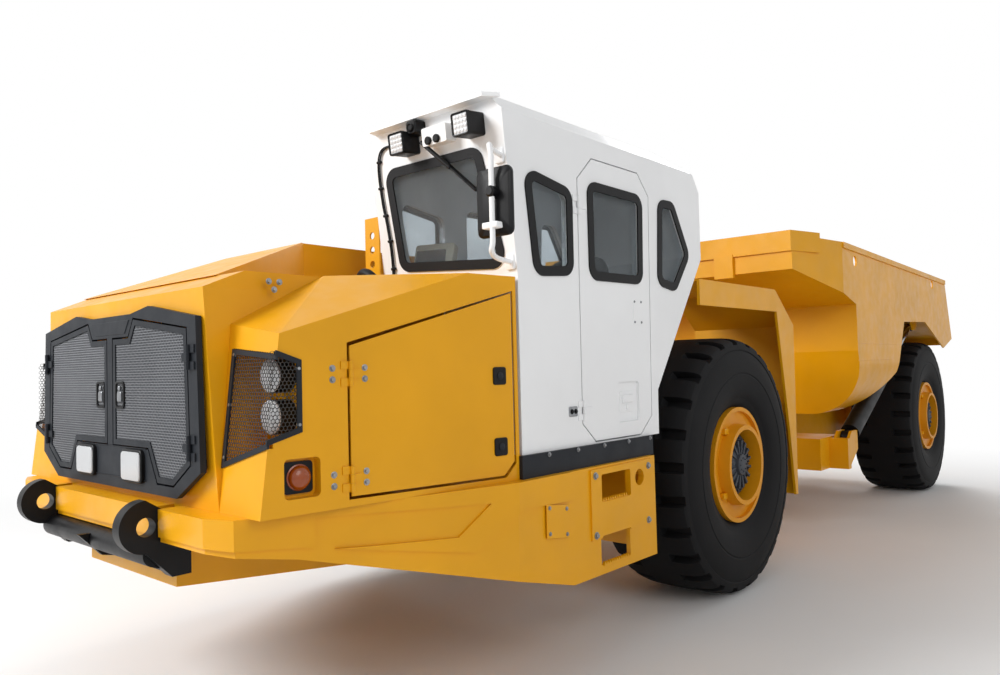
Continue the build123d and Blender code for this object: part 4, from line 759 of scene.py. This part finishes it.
STRIP_HALF = 0.36
STRIP_TOPS = (1.283, 1.1495)
STRIP_WIDTH = 0.003
PLATE_HEIGHTS = (-0.001, 0.003, 0.002)
STRIP_HEIGHTS = (-0.001, 0.004, 0.001)


def grille_door(hand, word):
    body = f"grille_door_{word}"
    mesh = Shape()
    outline = inset(mirrored(DOOR_MESH, hand), DOOR_BAR)
    honeycomb(mesh, GRILLE_FACE, outline, DOOR_PITCH, DOOR_STRAND, *DOOR_HEIGHTS)
    mesh.make(f"grille_mesh_{word}", mesh_wire, body, None)
    cup = Shape()
    cup.layered(GRILLE_FACE, hand * HANDLE_X, HANDLE_Z, HANDLE_CUP)
    cup.make(f"grille_handle_{word}", black_paint, body)
    catch = Shape()
    catch.plate(GRILLE_FACE, hand * HANDLE_X, HANDLE_Z - CATCH_DROP, CATCH_SIZE, CATCH_HEIGHTS)
    catch.turned(GRILLE_FACE, hand * HANDLE_X, HANDLE_Z + KNOB_RISE, KNOB, 16)
    catch.make(f"grille_catch_{word}", bolt_steel, body)


def grille_lamps():
    glasses = Shape()
    bezels = Shape()
    for hand, word in SIDES:
        bezels.plate(GRILLE_FACE, hand * LOW_LAMP_X, LOW_LAMP_Z, BEZEL_SIZE, BEZEL_HEIGHTS)
        glasses.plate(GRILLE_FACE, hand * LOW_LAMP_X, LOW_LAMP_Z, LOW_GLASS_SIZE, LOW_GLASS_HEIGHTS)
    bezels.make("grille_lamp_bezels", black_paint, "front")
    glasses.make("grille_lamp_glass", ribbed_glass, "front")


def grille_plates():
    """The blank plate above the doors and two thin strips on the frame."""
    plates = Shape()
    plates.slab(GRILLE_FACE, GRILLE_PLATE, *PLATE_HEIGHTS)
    for top in STRIP_TOPS:
        foot = top - STRIP_WIDTH
        strip = [(-STRIP_HALF, foot), (STRIP_HALF, foot), (STRIP_HALF, top), (-STRIP_HALF, top)]
        plates.slab(GRILLE_FACE, strip, *STRIP_HEIGHTS)
    plates.make("grille_plate", dark_paint, "front")


for hand, word in SIDES:
    grille_door(hand, word)
grille_lamps()
grille_plates()

# Front blocks: lamp guards of wire mesh, round lamps behind them, hinge bolts, latches and signal
GUARD_FRONT = [(0.860, 1.236), (1.155, 1.316), (1.155, 1.6775), (0.855, 1.700)]
GUARD_SIDE = [(-3.560, 1.330), (-3.430, 1.367), (-3.430, 1.637), (-3.560, 1.684)]
GUARD_PITCH = 0.016
GUARD_STRAND = 0.0016
GUARD_HEIGHTS = (-0.0035, -0.002)
GUARD_INNER_X = 0.869
GUARD_INNER_LEVELS = (1.27, 1.47, 1.665)
GUARD_REAR_Y = -3.442
GUARD_REAR_LEVELS = (1.395, 1.605)
GUARD_SCREW = 0.007
BLOCK_LAMP_X = 1.010
BLOCK_LAMP_LEVELS = (1.580, 1.420)
LAMP_FOOT_Y = -3.385
LAMP_LENGTH = 0.0703
LAMP_DOME = [(0.066, 0.0), (0.066, 0.006), (0.058, 0.012), (0.03, 0.018)]
HINGE_LEVELS = (1.58, 1.17)
HINGE_BOLT_GAP = 0.022
HINGE_FIXED_Y = -3.30
HINGE_DOOR_Y = -3.155
HINGE_BOLT = 0.009
LATCH_Y = -2.437
LATCH_LEVELS = (1.549, 1.224)
LATCH_SIZE = (0.078, 0.082, 0.012)
LATCH_HEIGHTS = (-0.002, 0.008, 0.003)
LATCH_KEY = [(0.017, 0.006), (0.017, 0.011), (0.014, 0.013)]
SIGNAL_Y = -3.430
SIGNAL_Z = 1.195
SIGNAL_SINK = 0.045
SIGNAL_DOME = [(0.050, 0.008), (0.050, 0.012), (0.045, 0.014), (0.045, 0.020), (0.043, 0.027), (0.038, 0.034),
               (0.028, 0.040), (0.014, 0.0435), (0.004, 0.044)]


def lamp_guard(hand, word):
    guard = Shape()
    honeycomb(guard, BLOCK_FACE, mirrored(GUARD_FRONT, hand), GUARD_PITCH, GUARD_STRAND, *GUARD_HEIGHTS)
    honeycomb(guard, block_side(hand), GUARD_SIDE, GUARD_PITCH, GUARD_STRAND, *GUARD_HEIGHTS)
    guard.make(f"guard_mesh_{word}", guard_wire, "front", None)
    lamps = Shape()
    glass_face = front_face(0, LAMP_FOOT_Y - LAMP_LENGTH, 0)
    for z in BLOCK_LAMP_LEVELS:
        lamps.turned(glass_face, hand * BLOCK_LAMP_X, z, LAMP_DOME, 32)
    lamps.make(f"block_lamp_glass_{word}", ribbed_glass, "front")


def block_screws(hand, word):
    face = block_side(hand)
    door = f"access_door_{word}"
    bolt_levels = [z + s for z in HINGE_LEVELS for s in (-HINGE_BOLT_GAP, HINGE_BOLT_GAP)]
    inner = [(BLOCK_FACE, hand * GUARD_INNER_X, z) for z in GUARD_INNER_LEVELS]
    rear = [(face, GUARD_REAR_Y, z) for z in GUARD_REAR_LEVELS]
    screws(f"guard_screws_{word}", inner + rear, GUARD_SCREW, "front")
    screws(f"block_bolts_{word}", [(face, HINGE_FIXED_Y, z) for z in bolt_levels], HINGE_BOLT, "front")
    screws(f"access_bolts_{word}", [(face, HINGE_DOOR_Y, z) for z in bolt_levels], HINGE_BOLT, door)


def access_latches(hand, word):
    face = block_side(hand)
    latch = Shape()
    key = Shape()
    for z in LATCH_LEVELS:
        latch.plate(face, LATCH_Y, z, LATCH_SIZE, LATCH_HEIGHTS)
        key.turned(face, LATCH_Y, z, LATCH_KEY, 20)
    latch.make(f"access_latch_{word}", black_paint, f"access_door_{word}")
    key.make(f"access_key_{word}", dark_paint, f"access_door_{word}")


def turn_signal(hand, word):
    signal = Shape()
    signal.turned(block_side(hand).moved(-SIGNAL_SINK), SIGNAL_Y, SIGNAL_Z, SIGNAL_DOME, 32)
    signal.make(f"signal_lens_{word}", amber_lens, "front", 40.0)


for hand, word in SIDES:
    lamp_guard(hand, word)
    block_screws(hand, word)
    access_latches(hand, word)
    turn_signal(hand, word)

HOOD_SIDE_X = 0.838
HOOD_LEAN = 0.06
HOOD_BOLT = 0.009
HOOD_BOLTS = ((-3.351, 1.968), (-3.301, 1.968), (-3.326, 1.935))
hood_sides = [Face(at(hand * HOOD_SIDE_X, 0, 0), REARWARD, UP, (hand, 0, HOOD_LEAN)) for hand, word in SIDES]
screws("hood_bolts", [(face, y, z) for face in hood_sides for y, z in HOOD_BOLTS], HOOD_BOLT, "front")

# Cab roof: visor plate with its screws, work lamps, camera
VISOR = [(0.395, -2.385), (0.410, -2.455), (1.235, -2.455), (1.290, -2.385)]
VISOR_FOOT = 2.866
VISOR_TOP = 2.888
VISOR_EDGE = 0.004
VISOR_SCREW = 0.008
VISOR_SCREW_XS = (0.56, 0.72, 1.02)
VISOR_SCREW_Y = -2.43
ROOF_LAMP_XS = (0.676, 1.133)
ROOF_LAMP_Z = 2.760
ROOF_LAMP_OUT = 0.110
RIM_LAYERS = [(0.112, 0.112, 0.012, ROOF_LAMP_OUT - 0.012), (0.112, 0.112, 0.012, ROOF_LAMP_OUT + 0.006),
              (0.106, 0.106, 0.011, ROOF_LAMP_OUT + 0.010), (0.096, 0.096, 0.008, ROOF_LAMP_OUT + 0.009),
              (0.094, 0.094, 0.008, ROOF_LAMP_OUT + 0.003)]
LED_PLATE_SIZE = (0.092, 0.092, 0.006)
LED_PLATE_HEIGHTS = (ROOF_LAMP_OUT, ROOF_LAMP_OUT + 0.004, 0.001)
LED_ROWS = 4
LED_PITCH = 0.022
LED_DOME = [(0.0098, ROOF_LAMP_OUT + 0.003), (0.009, ROOF_LAMP_OUT + 0.007), (0.005, ROOF_LAMP_OUT + 0.009)]
CAMERA_FACE = Face(at(0.752, -2.445, 2.822), LEFT, (0, -0.1, 1), (0, -1, -0.1))
CAMERA_SIZE = (0.070, 0.070, 0.014)
CAMERA_HEIGHTS = (-0.06, 0.022, 0.006)
CAMERA_EYE = [(0.022, 0.02), (0.022, 0.030), (0.018, 0.032), (0.012, 0.026)]

visor = Shape()
visor.slab(LEVEL, VISOR, VISOR_FOOT, VISOR_TOP, VISOR_EDGE)
visor.make("roof_visor", white_paint, "front")
visor_face = top_face(VISOR_TOP)
screws("roof_visor_screws", [(visor_face, x, VISOR_SCREW_Y) for x in VISOR_SCREW_XS], VISOR_SCREW, "front")


def roof_lamps():
    rims = Shape()
    leds = Shape()
    for x in ROOF_LAMP_XS:
        rims.layered(WINDSHIELD, x, ROOF_LAMP_Z, RIM_LAYERS)
        leds.plate(WINDSHIELD, x, ROOF_LAMP_Z, LED_PLATE_SIZE, LED_PLATE_HEIGHTS)
        for row in range(LED_ROWS):
            for column in range(LED_ROWS):
                u = x + LED_PITCH * (column - (LED_ROWS - 1) / 2)
                v = ROOF_LAMP_Z + LED_PITCH * (row - (LED_ROWS - 1) / 2)
                leds.turned(WINDSHIELD, u, v, LED_DOME, 12)
    rims.make("work_lamp_rims", black_paint, "front")
    leds.make("work_lamp_lenses", lamp_face, "front", 40.0)


roof_lamps()
eye = Shape()
eye.plate(CAMERA_FACE, 0, 0, CAMERA_SIZE, CAMERA_HEIGHTS)
eye.turned(CAMERA_FACE, 0, 0, CAMERA_EYE, 20)
eye.make("roof_camera", black_paint, "front")

# Windshield wall: wiper with its two caps, and two leads clipped beside the glass
WIPER_CAP_XS = (0.866, 0.925)
WIPER_CAP_Z = 2.738
WIPER_BOX_OUT = 0.070
WIPER_CAP = [(0.021, WIPER_BOX_OUT - 0.01), (0.021, WIPER_BOX_OUT + 0.008), (0.016, WIPER_BOX_OUT + 0.012)]
WIPER_OUT = 0.026
WIPER_ARM = ((0.800, 2.745, 0.055), (0.825, 2.722, 0.055), (0.960, 2.590, WIPER_OUT + 0.006))
WIPER_ROD = ((0.955, 2.595, WIPER_OUT + 0.006), (1.05, 2.505, WIPER_OUT))
WIPER_ARM_RADIUS = 0.012
WIPER_ROD_RADIUS = 0.006
BLADE_TOP = (0.900, 2.640)
BLADE_TIP = (1.105, 2.455)
BLADE_HALVES = (-0.007, -0.007, 0.007, 0.007)
BLADE_HEIGHTS = (0.004, WIPER_OUT, 0.004)
LEAD_ROUTE = ((0.622, 2.765), (0.50, 2.790), (0.425, 2.770), (0.395, 2.678), (0.400, 2.50), (0.416, 2.39),
              (0.428, 2.23), (0.422, 2.06))
LEAD_RADIUS = 0.0045
LEAD_OUT = 0.008
LEAD_SHIFTS = (0.0, 0.013)
LEAD_SLANT = 0.4
CLIP_SHIFT = 0.006
CLIP_SIZE = (0.034, 0.014, 0.005)
CLIP_HEIGHTS = (-0.002, 0.015, 0.003)
LEAD_CLIPS = ((0.520, 2.784), (0.403, 2.72), (0.394, 2.58), (0.409, 2.43), (0.424, 2.29), (0.427, 2.14))

caps = Shape()
for x in WIPER_CAP_XS:
    caps.turned(WINDSHIELD, x, WIPER_CAP_Z, WIPER_CAP, 20)
caps.make("wiper_caps", black_paint, "front")

wiper = Shape()
wiper.tube([WINDSHIELD.at(*place) for place in WIPER_ARM], WIPER_ARM_RADIUS)
wiper.tube([WINDSHIELD.at(*place) for place in WIPER_ROD], WIPER_ROD_RADIUS)
blade_run = Vector((BLADE_TIP[0] - BLADE_TOP[0], BLADE_TIP[1] - BLADE_TOP[1])).normalized()
blade_wide = Vector((-blade_run.y, blade_run.x))
blade = [
    tuple(Vector(end) + blade_wide * half)
    for end, half in zip((BLADE_TOP, BLADE_TIP, BLADE_TIP, BLADE_TOP), BLADE_HALVES)
]
wiper.slab(WINDSHIELD, blade, *BLADE_HEIGHTS)
wiper.make("wiper", black_paint, "front")

leads = Shape()
for shift in LEAD_SHIFTS:
    route = [WINDSHIELD.at(x + shift, z - shift * LEAD_SLANT, LEAD_OUT) for x, z in LEAD_ROUTE]
    leads.tube(smooth_path(route, 5), LEAD_RADIUS, 8)
leads.make("windshield_leads", seal_rubber, "front", 50.0)
clips = Shape()
for x, z in LEAD_CLIPS:
    clips.plate(WINDSHIELD, x + CLIP_SHIFT, z, CLIP_SIZE, CLIP_HEIGHTS)
clips.make("lead_clips", black_paint, "front")

# Mirror: a round tube with its feet on the cab's corner, and the housing behind it
MIRROR_X = 1.378
MIRROR_Y = -2.560
MIRROR_BEND = (1.362, MIRROR_Y + 0.01)
MIRROR_FOOT_X = 1.262
MIRROR_FOOT_LEVELS = (2.593, 2.090)
MIRROR_FOOT_SIZE = (0.052, 0.075, 0.010)
MIRROR_FOOT_HEIGHTS = (-0.002, 0.008, 0.002)
MIRROR_TUBE_RADIUS = 0.0125
CLAMP_SHIFT = -0.01
CLAMP_Z = 2.222
CLAMP_SIZE = (0.090, 0.028, 0.006)
CLAMP_HEIGHTS = (-0.045, 0.010, 0.002)
HOUSING_PLACE = (1.352, MIRROR_Y + 0.070, 2.335)
SILVER_SIZE = (0.160, 0.270, 0.028)
SILVER_HEIGHTS = (-0.001, 0.006, 0.001)
MIRROR_BALL_Z = 2.372
MIRROR_BALL = [(0.020, -0.040), (0.026, -0.012), (0.026, 0.012), (0.018, 0.020)]
MIRROR_TUBE = ((MIRROR_FOOT_X, -2.34, 2.593), (1.300, -2.46, 2.596), (*MIRROR_BEND, 2.588),
               (MIRROR_X, MIRROR_Y, 2.540), (MIRROR_X, MIRROR_Y, 2.44), (MIRROR_X, MIRROR_Y, 2.24),
               (MIRROR_X, MIRROR_Y, 2.150), (*MIRROR_BEND, 2.105), (1.300, -2.44, 2.092),
               (MIRROR_FOOT_X, -2.29, 2.090))
HOUSING_LAYERS = ((0.170, 0.280, 0.030, -0.004), (0.200, 0.310, 0.030, 0.004), (0.206, 0.316, 0.030, 0.016),
                  (0.204, 0.314, 0.030, 0.026), (0.188, 0.298, 0.030, 0.036), (0.110, 0.200, 0.030, 0.046))


def cab_mirror():
    arm = Shape()
    arm.tube(smooth_path([at(*place) for place in MIRROR_TUBE], 6), MIRROR_TUBE_RADIUS, 14)
    for z in MIRROR_FOOT_LEVELS:
        foot = front_face(MIRROR_FOOT_X, CAB_FRONT - (z - CAB_KNEE_Z) * CAB_LEAN, z)
        arm.plate(foot, 0, 0, MIRROR_FOOT_SIZE, MIRROR_FOOT_HEIGHTS)
    arm.plate(front_face(MIRROR_X, MIRROR_Y, CLAMP_Z), CLAMP_SHIFT, 0, CLAMP_SIZE, CLAMP_HEIGHTS)
    arm_piece = arm.make("mirror_arm", white_paint, "front", 50.0)
    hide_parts("mirror")
    housing = Shape()
    front = front_face(*HOUSING_PLACE)
    housing.layered(front, 0, 0, HOUSING_LAYERS, 6)
    housing.turned(front_face(MIRROR_X, MIRROR_Y, MIRROR_BALL_Z), 0, 0, MIRROR_BALL, 18)
    housing.make("mirror_housing", black_paint, "front")
    silver = Shape()
    back = Face(front.at(0, 0), LEFT, UP, REARWARD)
    silver.plate(back, 0, 0, SILVER_SIZE, SILVER_HEIGHTS, 6)
    silver.make("mirror_silver", mirror_silver, "front")


cab_mirror()

# Cab side: lock plate and handle on the door, screws of the rubber flap, plate of the door's stay
LOCK_Y = -1.230
LOCK_Z = 1.885
LOCK_PLATE_TOP = 0.003
LOCK_PLATE_SIZE = (0.094, 0.146, 0.004)
LOCK_PLATE_HEIGHTS = (-0.002, LOCK_PLATE_TOP, 0.001)
LOCK_SCREW = 0.005
LOCK_SCREWS = [(y, z) for y in (-1.266, -1.194) for z in (1.826, 1.944)]
FLAP_OUT = 0.021
FLAP_SCREW_YS = (-2.12, -1.88, -1.64, -1.40, -1.17)
FLAP_SCREW_Z = 1.158
FLAP_SCREW = 0.008
STAY_Y = -1.888
STAY_Z = 1.352
STAY_SCREW_YS = (-1.905, -1.872)
STAY_SCREW_OUT = 0.006
STAY_SIZE = (0.070, 0.052, 0.008)
STAY_HEIGHTS = (-0.002, 0.007, 0.002)
STAY_SCREW = 0.009
DOOR_POCKET = 0.018
CAB_HANDLE_Y = -1.350
DISH_Z = 1.376
DISH_SIZE = (0.150, 0.120, 0.016)
DISH_HEIGHTS = (-0.001, 0.004, 0.002)
GRIP_Z = 1.392
GRIP_SIZE = (0.110, 0.045, 0.010)
GRIP_HEIGHTS = (0.003, 0.016, 0.004)
LOCK_BARREL_Z = 1.345
LOCK_BARREL = [(0.014, 0.003), (0.014, 0.010), (0.010, 0.012)]

lock_plate = Shape()
lock_plate.plate(CAB_SIDE, LOCK_Y, LOCK_Z, LOCK_PLATE_SIZE, LOCK_PLATE_HEIGHTS)
lock_plate.make("cab_door_plate", white_paint, "cab_door")
lock_face = side_face(BODY_HALF + LOCK_PLATE_TOP)
screws("cab_door_screws", [(lock_face, y, z) for y, z in LOCK_SCREWS], LOCK_SCREW, "cab_door")
flap_face = side_face(BODY_HALF + FLAP_OUT)
screws("flap_screws", [(flap_face, y, FLAP_SCREW_Z) for y in FLAP_SCREW_YS], FLAP_SCREW, "front")
stay = Shape()
stay.plate(CAB_SIDE, STAY_Y, STAY_Z, STAY_SIZE, STAY_HEIGHTS)
stay.make("door_stay_plate", bolt_steel, "front")
stay_face = side_face(BODY_HALF + STAY_SCREW_OUT)
screws("door_stay_screws", [(stay_face, y, STAY_Z) for y in STAY_SCREW_YS], STAY_SCREW, "front", black_paint)
handle = Shape()
handle_face = side_face(BODY_HALF - DOOR_POCKET)
handle.plate(handle_face, CAB_HANDLE_Y, DISH_Z, DISH_SIZE, DISH_HEIGHTS)
handle.plate(handle_face, CAB_HANDLE_Y, GRIP_Z, GRIP_SIZE, GRIP_HEIGHTS)
handle.turned(handle_face, CAB_HANDLE_Y, LOCK_BARREL_Z, LOCK_BARREL, 20)
handle.make("cab_door_handle", white_paint, "cab_door")

# Bumper sides: bolts of the step plates, covers with their screws, saw teeth on the two treads
STEP_BOLT = 0.013
STEP_PLATE_BOLTS = ((-1.792, 1.016), (-1.268, 1.012), (-1.795, 0.712), (-1.280, 0.710))
COVER = [(-2.205, 0.770), (-2.030, 0.745), (-2.030, 0.905), (-2.205, 0.930)]
COVER_TOP = 0.004
COVER_HEIGHTS = (-0.002, COVER_TOP, 0.002)
COVER_SCREW = 0.007
COVER_SCREWS = ((-2.185, 0.912), (-2.050, 0.890), (-2.185, 0.790), (-2.050, 0.766))
TREAD_START = -1.722
TREAD_LEVELS = (0.545, 0.873)
TREAD_SINK = 0.022
TOOTH_PITCH = 0.022
TOOTH_COUNT = 11
TOOTH_HEIGHT = 0.018
TOOTH_ROOT = 0.004
TOOTH_WIDTH = 0.016

bumper_sides = [side_face(BUMPER_HALF, hand) for hand, word in SIDES]
step_bolts = [(face, y, z) for face in bumper_sides for y, z in STEP_PLATE_BOLTS]
screws("step_plate_bolts", step_bolts, STEP_BOLT, "front")
covers = Shape()
for face in bumper_sides:
    covers.slab(face, COVER, *COVER_HEIGHTS)
covers.make("bumper_covers", yellow_paint, "front")
cover_faces = [side_face(BUMPER_HALF + COVER_TOP, hand) for hand, word in SIDES]
cover_screws = [(face, y, z) for face in cover_faces for y, z in COVER_SCREWS]
screws("bumper_cover_screws", cover_screws, COVER_SCREW, "front")


def saw_outline(z):
    """Row of teeth that stand on a tread at a level."""
    saw = []
    for i in range(TOOTH_COUNT):
        y = TREAD_START + TOOTH_PITCH * i
        saw += [(y, z), (y + TOOTH_PITCH / 2, z + TOOTH_HEIGHT)]
    end = TREAD_START + TOOTH_PITCH * TOOTH_COUNT
    return saw + [(end, z), (end, z - TOOTH_ROOT), (TREAD_START, z - TOOTH_ROOT)]


teeth = Shape()
for hand, word in SIDES:
    for z in TREAD_LEVELS:
        teeth.slab(side_face(BUMPER_HALF - TREAD_SINK, hand), saw_outline(z), 0, TOOTH_WIDTH)
teeth.make("step_teeth", yellow_paint, "front", None)

# Hose elbow that comes out beside the engine cover
HOSE_RADIUS = 0.028
HOSE_ROUTE = ((0.26, -2.40, 2.00), (0.27, -2.42, 2.08), (0.33, -2.44, 2.115), (0.40, -2.44, 2.08),
              (0.42, -2.44, 1.99))

hose = Shape()
hose.tube(smooth_path([at(*place) for place in HOSE_ROUTE], 6), HOSE_RADIUS, 16)
hose.make("intake_hose", seal_rubber, "front", 50.0)

# Driver's seat behind the glass: pedestal in folds, and two pads with sewn channels
SEAT_X = 0.820
SEAT_Y = -1.50
FOLDS = 5
FOLD_FOOT = 1.222
FOLD_HEIGHT = 0.058
FOLD_WIDTH = 0.37
FOLD_WAIST = 0.02
FOLD_CORNER = 0.03
FOLD_EDGE = 0.006
CHANNEL_DEPTH = 0.010
CHANNEL_WIDTH = 0.012

# A pad's rings: where it is widest and how far its crown rises as shares of its depth, how square its edge is,
# and its least width and its corners as shares of its width
PAD_LEVELS = 14
PAD_WIDEST = 0.28
PAD_CROWN = 0.50
PAD_ROUNDING = 0.35
PAD_POLE = 0.02
PAD_CORNER = 0.24

base = Shape()
for i in range(FOLDS):
    width = FOLD_WIDTH - FOLD_WAIST * (i % 2)
    fold = rounded(SEAT_X, SEAT_Y, width, width, FOLD_CORNER)
    base.slab(LEVEL, fold, FOLD_FOOT + FOLD_HEIGHT * i, FOLD_FOOT + FOLD_HEIGHT * (i + 1), FOLD_EDGE)
base_piece = base.make("seat_base", black_paint, "front")
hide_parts("driver_seat")


def cushion(name, face, width, height, depth, channels):
    """Crowned pad on a face, soft at its edge, with sewn channels that run across it."""
    shape = Shape()
    rings = []
    for level in range(PAD_LEVELS + 1):
        t = level / PAD_LEVELS
        upper = t >= 0.5
        side = max(math.sin(math.pi * t) ** PAD_ROUNDING, PAD_POLE)
        fall = math.cos(math.pi * t)
        rise = depth * (PAD_WIDEST - PAD_CROWN * fall) if upper else PAD_WIDEST * depth * (1 - fall)
        ringed = []
        for u, v in rounded(0, 0, width * side, height * side, PAD_CORNER * min(width, height) * side, 7):
            dips = [CHANNEL_DEPTH * math.exp(-((v - c) / CHANNEL_WIDTH) ** 2) for c in channels]
            ringed.append(face.at(u, v, rise - (sum(dips) if upper else 0.0)))
        rings.append(ringed)
    shape.loft(rings)
    pad = shape.make(name, seat_cloth, "front", 60.0)


CUSHION_FACE = Face(at(SEAT_X, SEAT_Y, 1.515), LEFT, REARWARD, UP)
BACK_FACE = Face(at(SEAT_X, -1.165, 1.935), LEFT, (0, 0.19, 1), (0, -1, 0.19))
cushion("seat_cushion", CUSHION_FACE, 0.50, 0.50, 0.120, (-0.08, 0.08))
cushion("seat_back", BACK_FACE, 0.48, 0.62, 0.115, (-0.16, 0.0, 0.16))

# Screen on its stalk, and a lever on a pod at each side of the seat, joined by a pan below the cushion
SCREEN_FACE = Face(at(0.560, -2.135, 2.215), (0.94, 0.34, 0), (-0.12, 0.30, 0.94), (0.32, -0.90, 0.30))
CASE_SIZE = (0.24, 0.15, 0.014)
CASE_HEIGHTS = (-0.050, 0.0, 0.006)
SCREEN_SHIFT = (-0.016, -0.014)
SCREEN_SIZE = (0.180, 0.098, 0.008)
SCREEN_HEIGHTS = (-0.002, 0.003, 0.001)
STALK_RADIUS = 0.014
STALK_TOP = (0, -0.05, -0.045)
STALK_PLACES = ((0.58, -2.14, 1.72), (0.575, -2.13, 1.95))
PAN_SIZE = (0.72, 0.34, 0.03)
PAN_LEVELS = (1.498, 1.516, 0.003)
POD_Y = -1.51
POD_SIZE = (0.09, 0.34, 0.02)
POD_LEVELS = (1.510, 1.590, 0.008)
LEVER_RADIUS = 0.012
LEVER_XS = (0.50, 1.14)
LEVER_PLACES = ((-1.62, 1.55), (-1.66, 1.66), (-1.67, 1.74))
LEVER_KNOB = [(0.014, -0.02), (0.024, 0.01), (0.026, 0.05), (0.018, 0.085), (0.006, 0.094)]

case = Shape()
case.plate(SCREEN_FACE, 0, 0, CASE_SIZE, CASE_HEIGHTS)
case.make("screen_case", cream_plastic, "front")
glass = Shape()
glass.plate(SCREEN_FACE, *SCREEN_SHIFT, SCREEN_SIZE, SCREEN_HEIGHTS)
glass.make("screen_glass", dark_glass, "front")
levers = Shape()
stalk = [at(*place) for place in STALK_PLACES] + [SCREEN_FACE.at(*STALK_TOP)]
levers.tube(smooth_path(stalk, 5), STALK_RADIUS)
levers.plate(LEVEL, SEAT_X, SEAT_Y, PAN_SIZE, PAN_LEVELS)
lever_top_y, lever_top_z = LEVER_PLACES[-1]
for x in LEVER_XS:
    levers.plate(LEVEL, x, POD_Y, POD_SIZE, POD_LEVELS)
    levers.tube(smooth_path([at(x, y, z) for y, z in LEVER_PLACES], 5), LEVER_RADIUS)
    levers.turned(top_face(lever_top_z), x, lever_top_y, LEVER_KNOB, 16)
levers.make("cab_levers", black_paint, "front", 40.0)

# Weld seams along the dump box
WELD_X = 1.4475
WELD_RUNS = ((1.715, 2.30, 3.62), (1.563, 2.28, 3.37))
WELD_STEPS = 60
WELD_WAVE = 0.0006
WELD_WAVE_STEP = 2.3
WELD_RADIUS = 0.0045

welds = Shape()
for hand, word in SIDES:
    for z, start, end in WELD_RUNS:
        bead = []
        for i in range(WELD_STEPS + 1):
            wave = WELD_WAVE * math.sin(i * WELD_WAVE_STEP)
            bead.append(at(hand * WELD_X, start + (end - start) * i / WELD_STEPS, z + wave))
        welds.tube(bead, WELD_RADIUS, 6)
welds.make("box_welds", yellow_paint, "box", 60.0)

bpy.context.scene.view_settings.view_transform = "Standard"
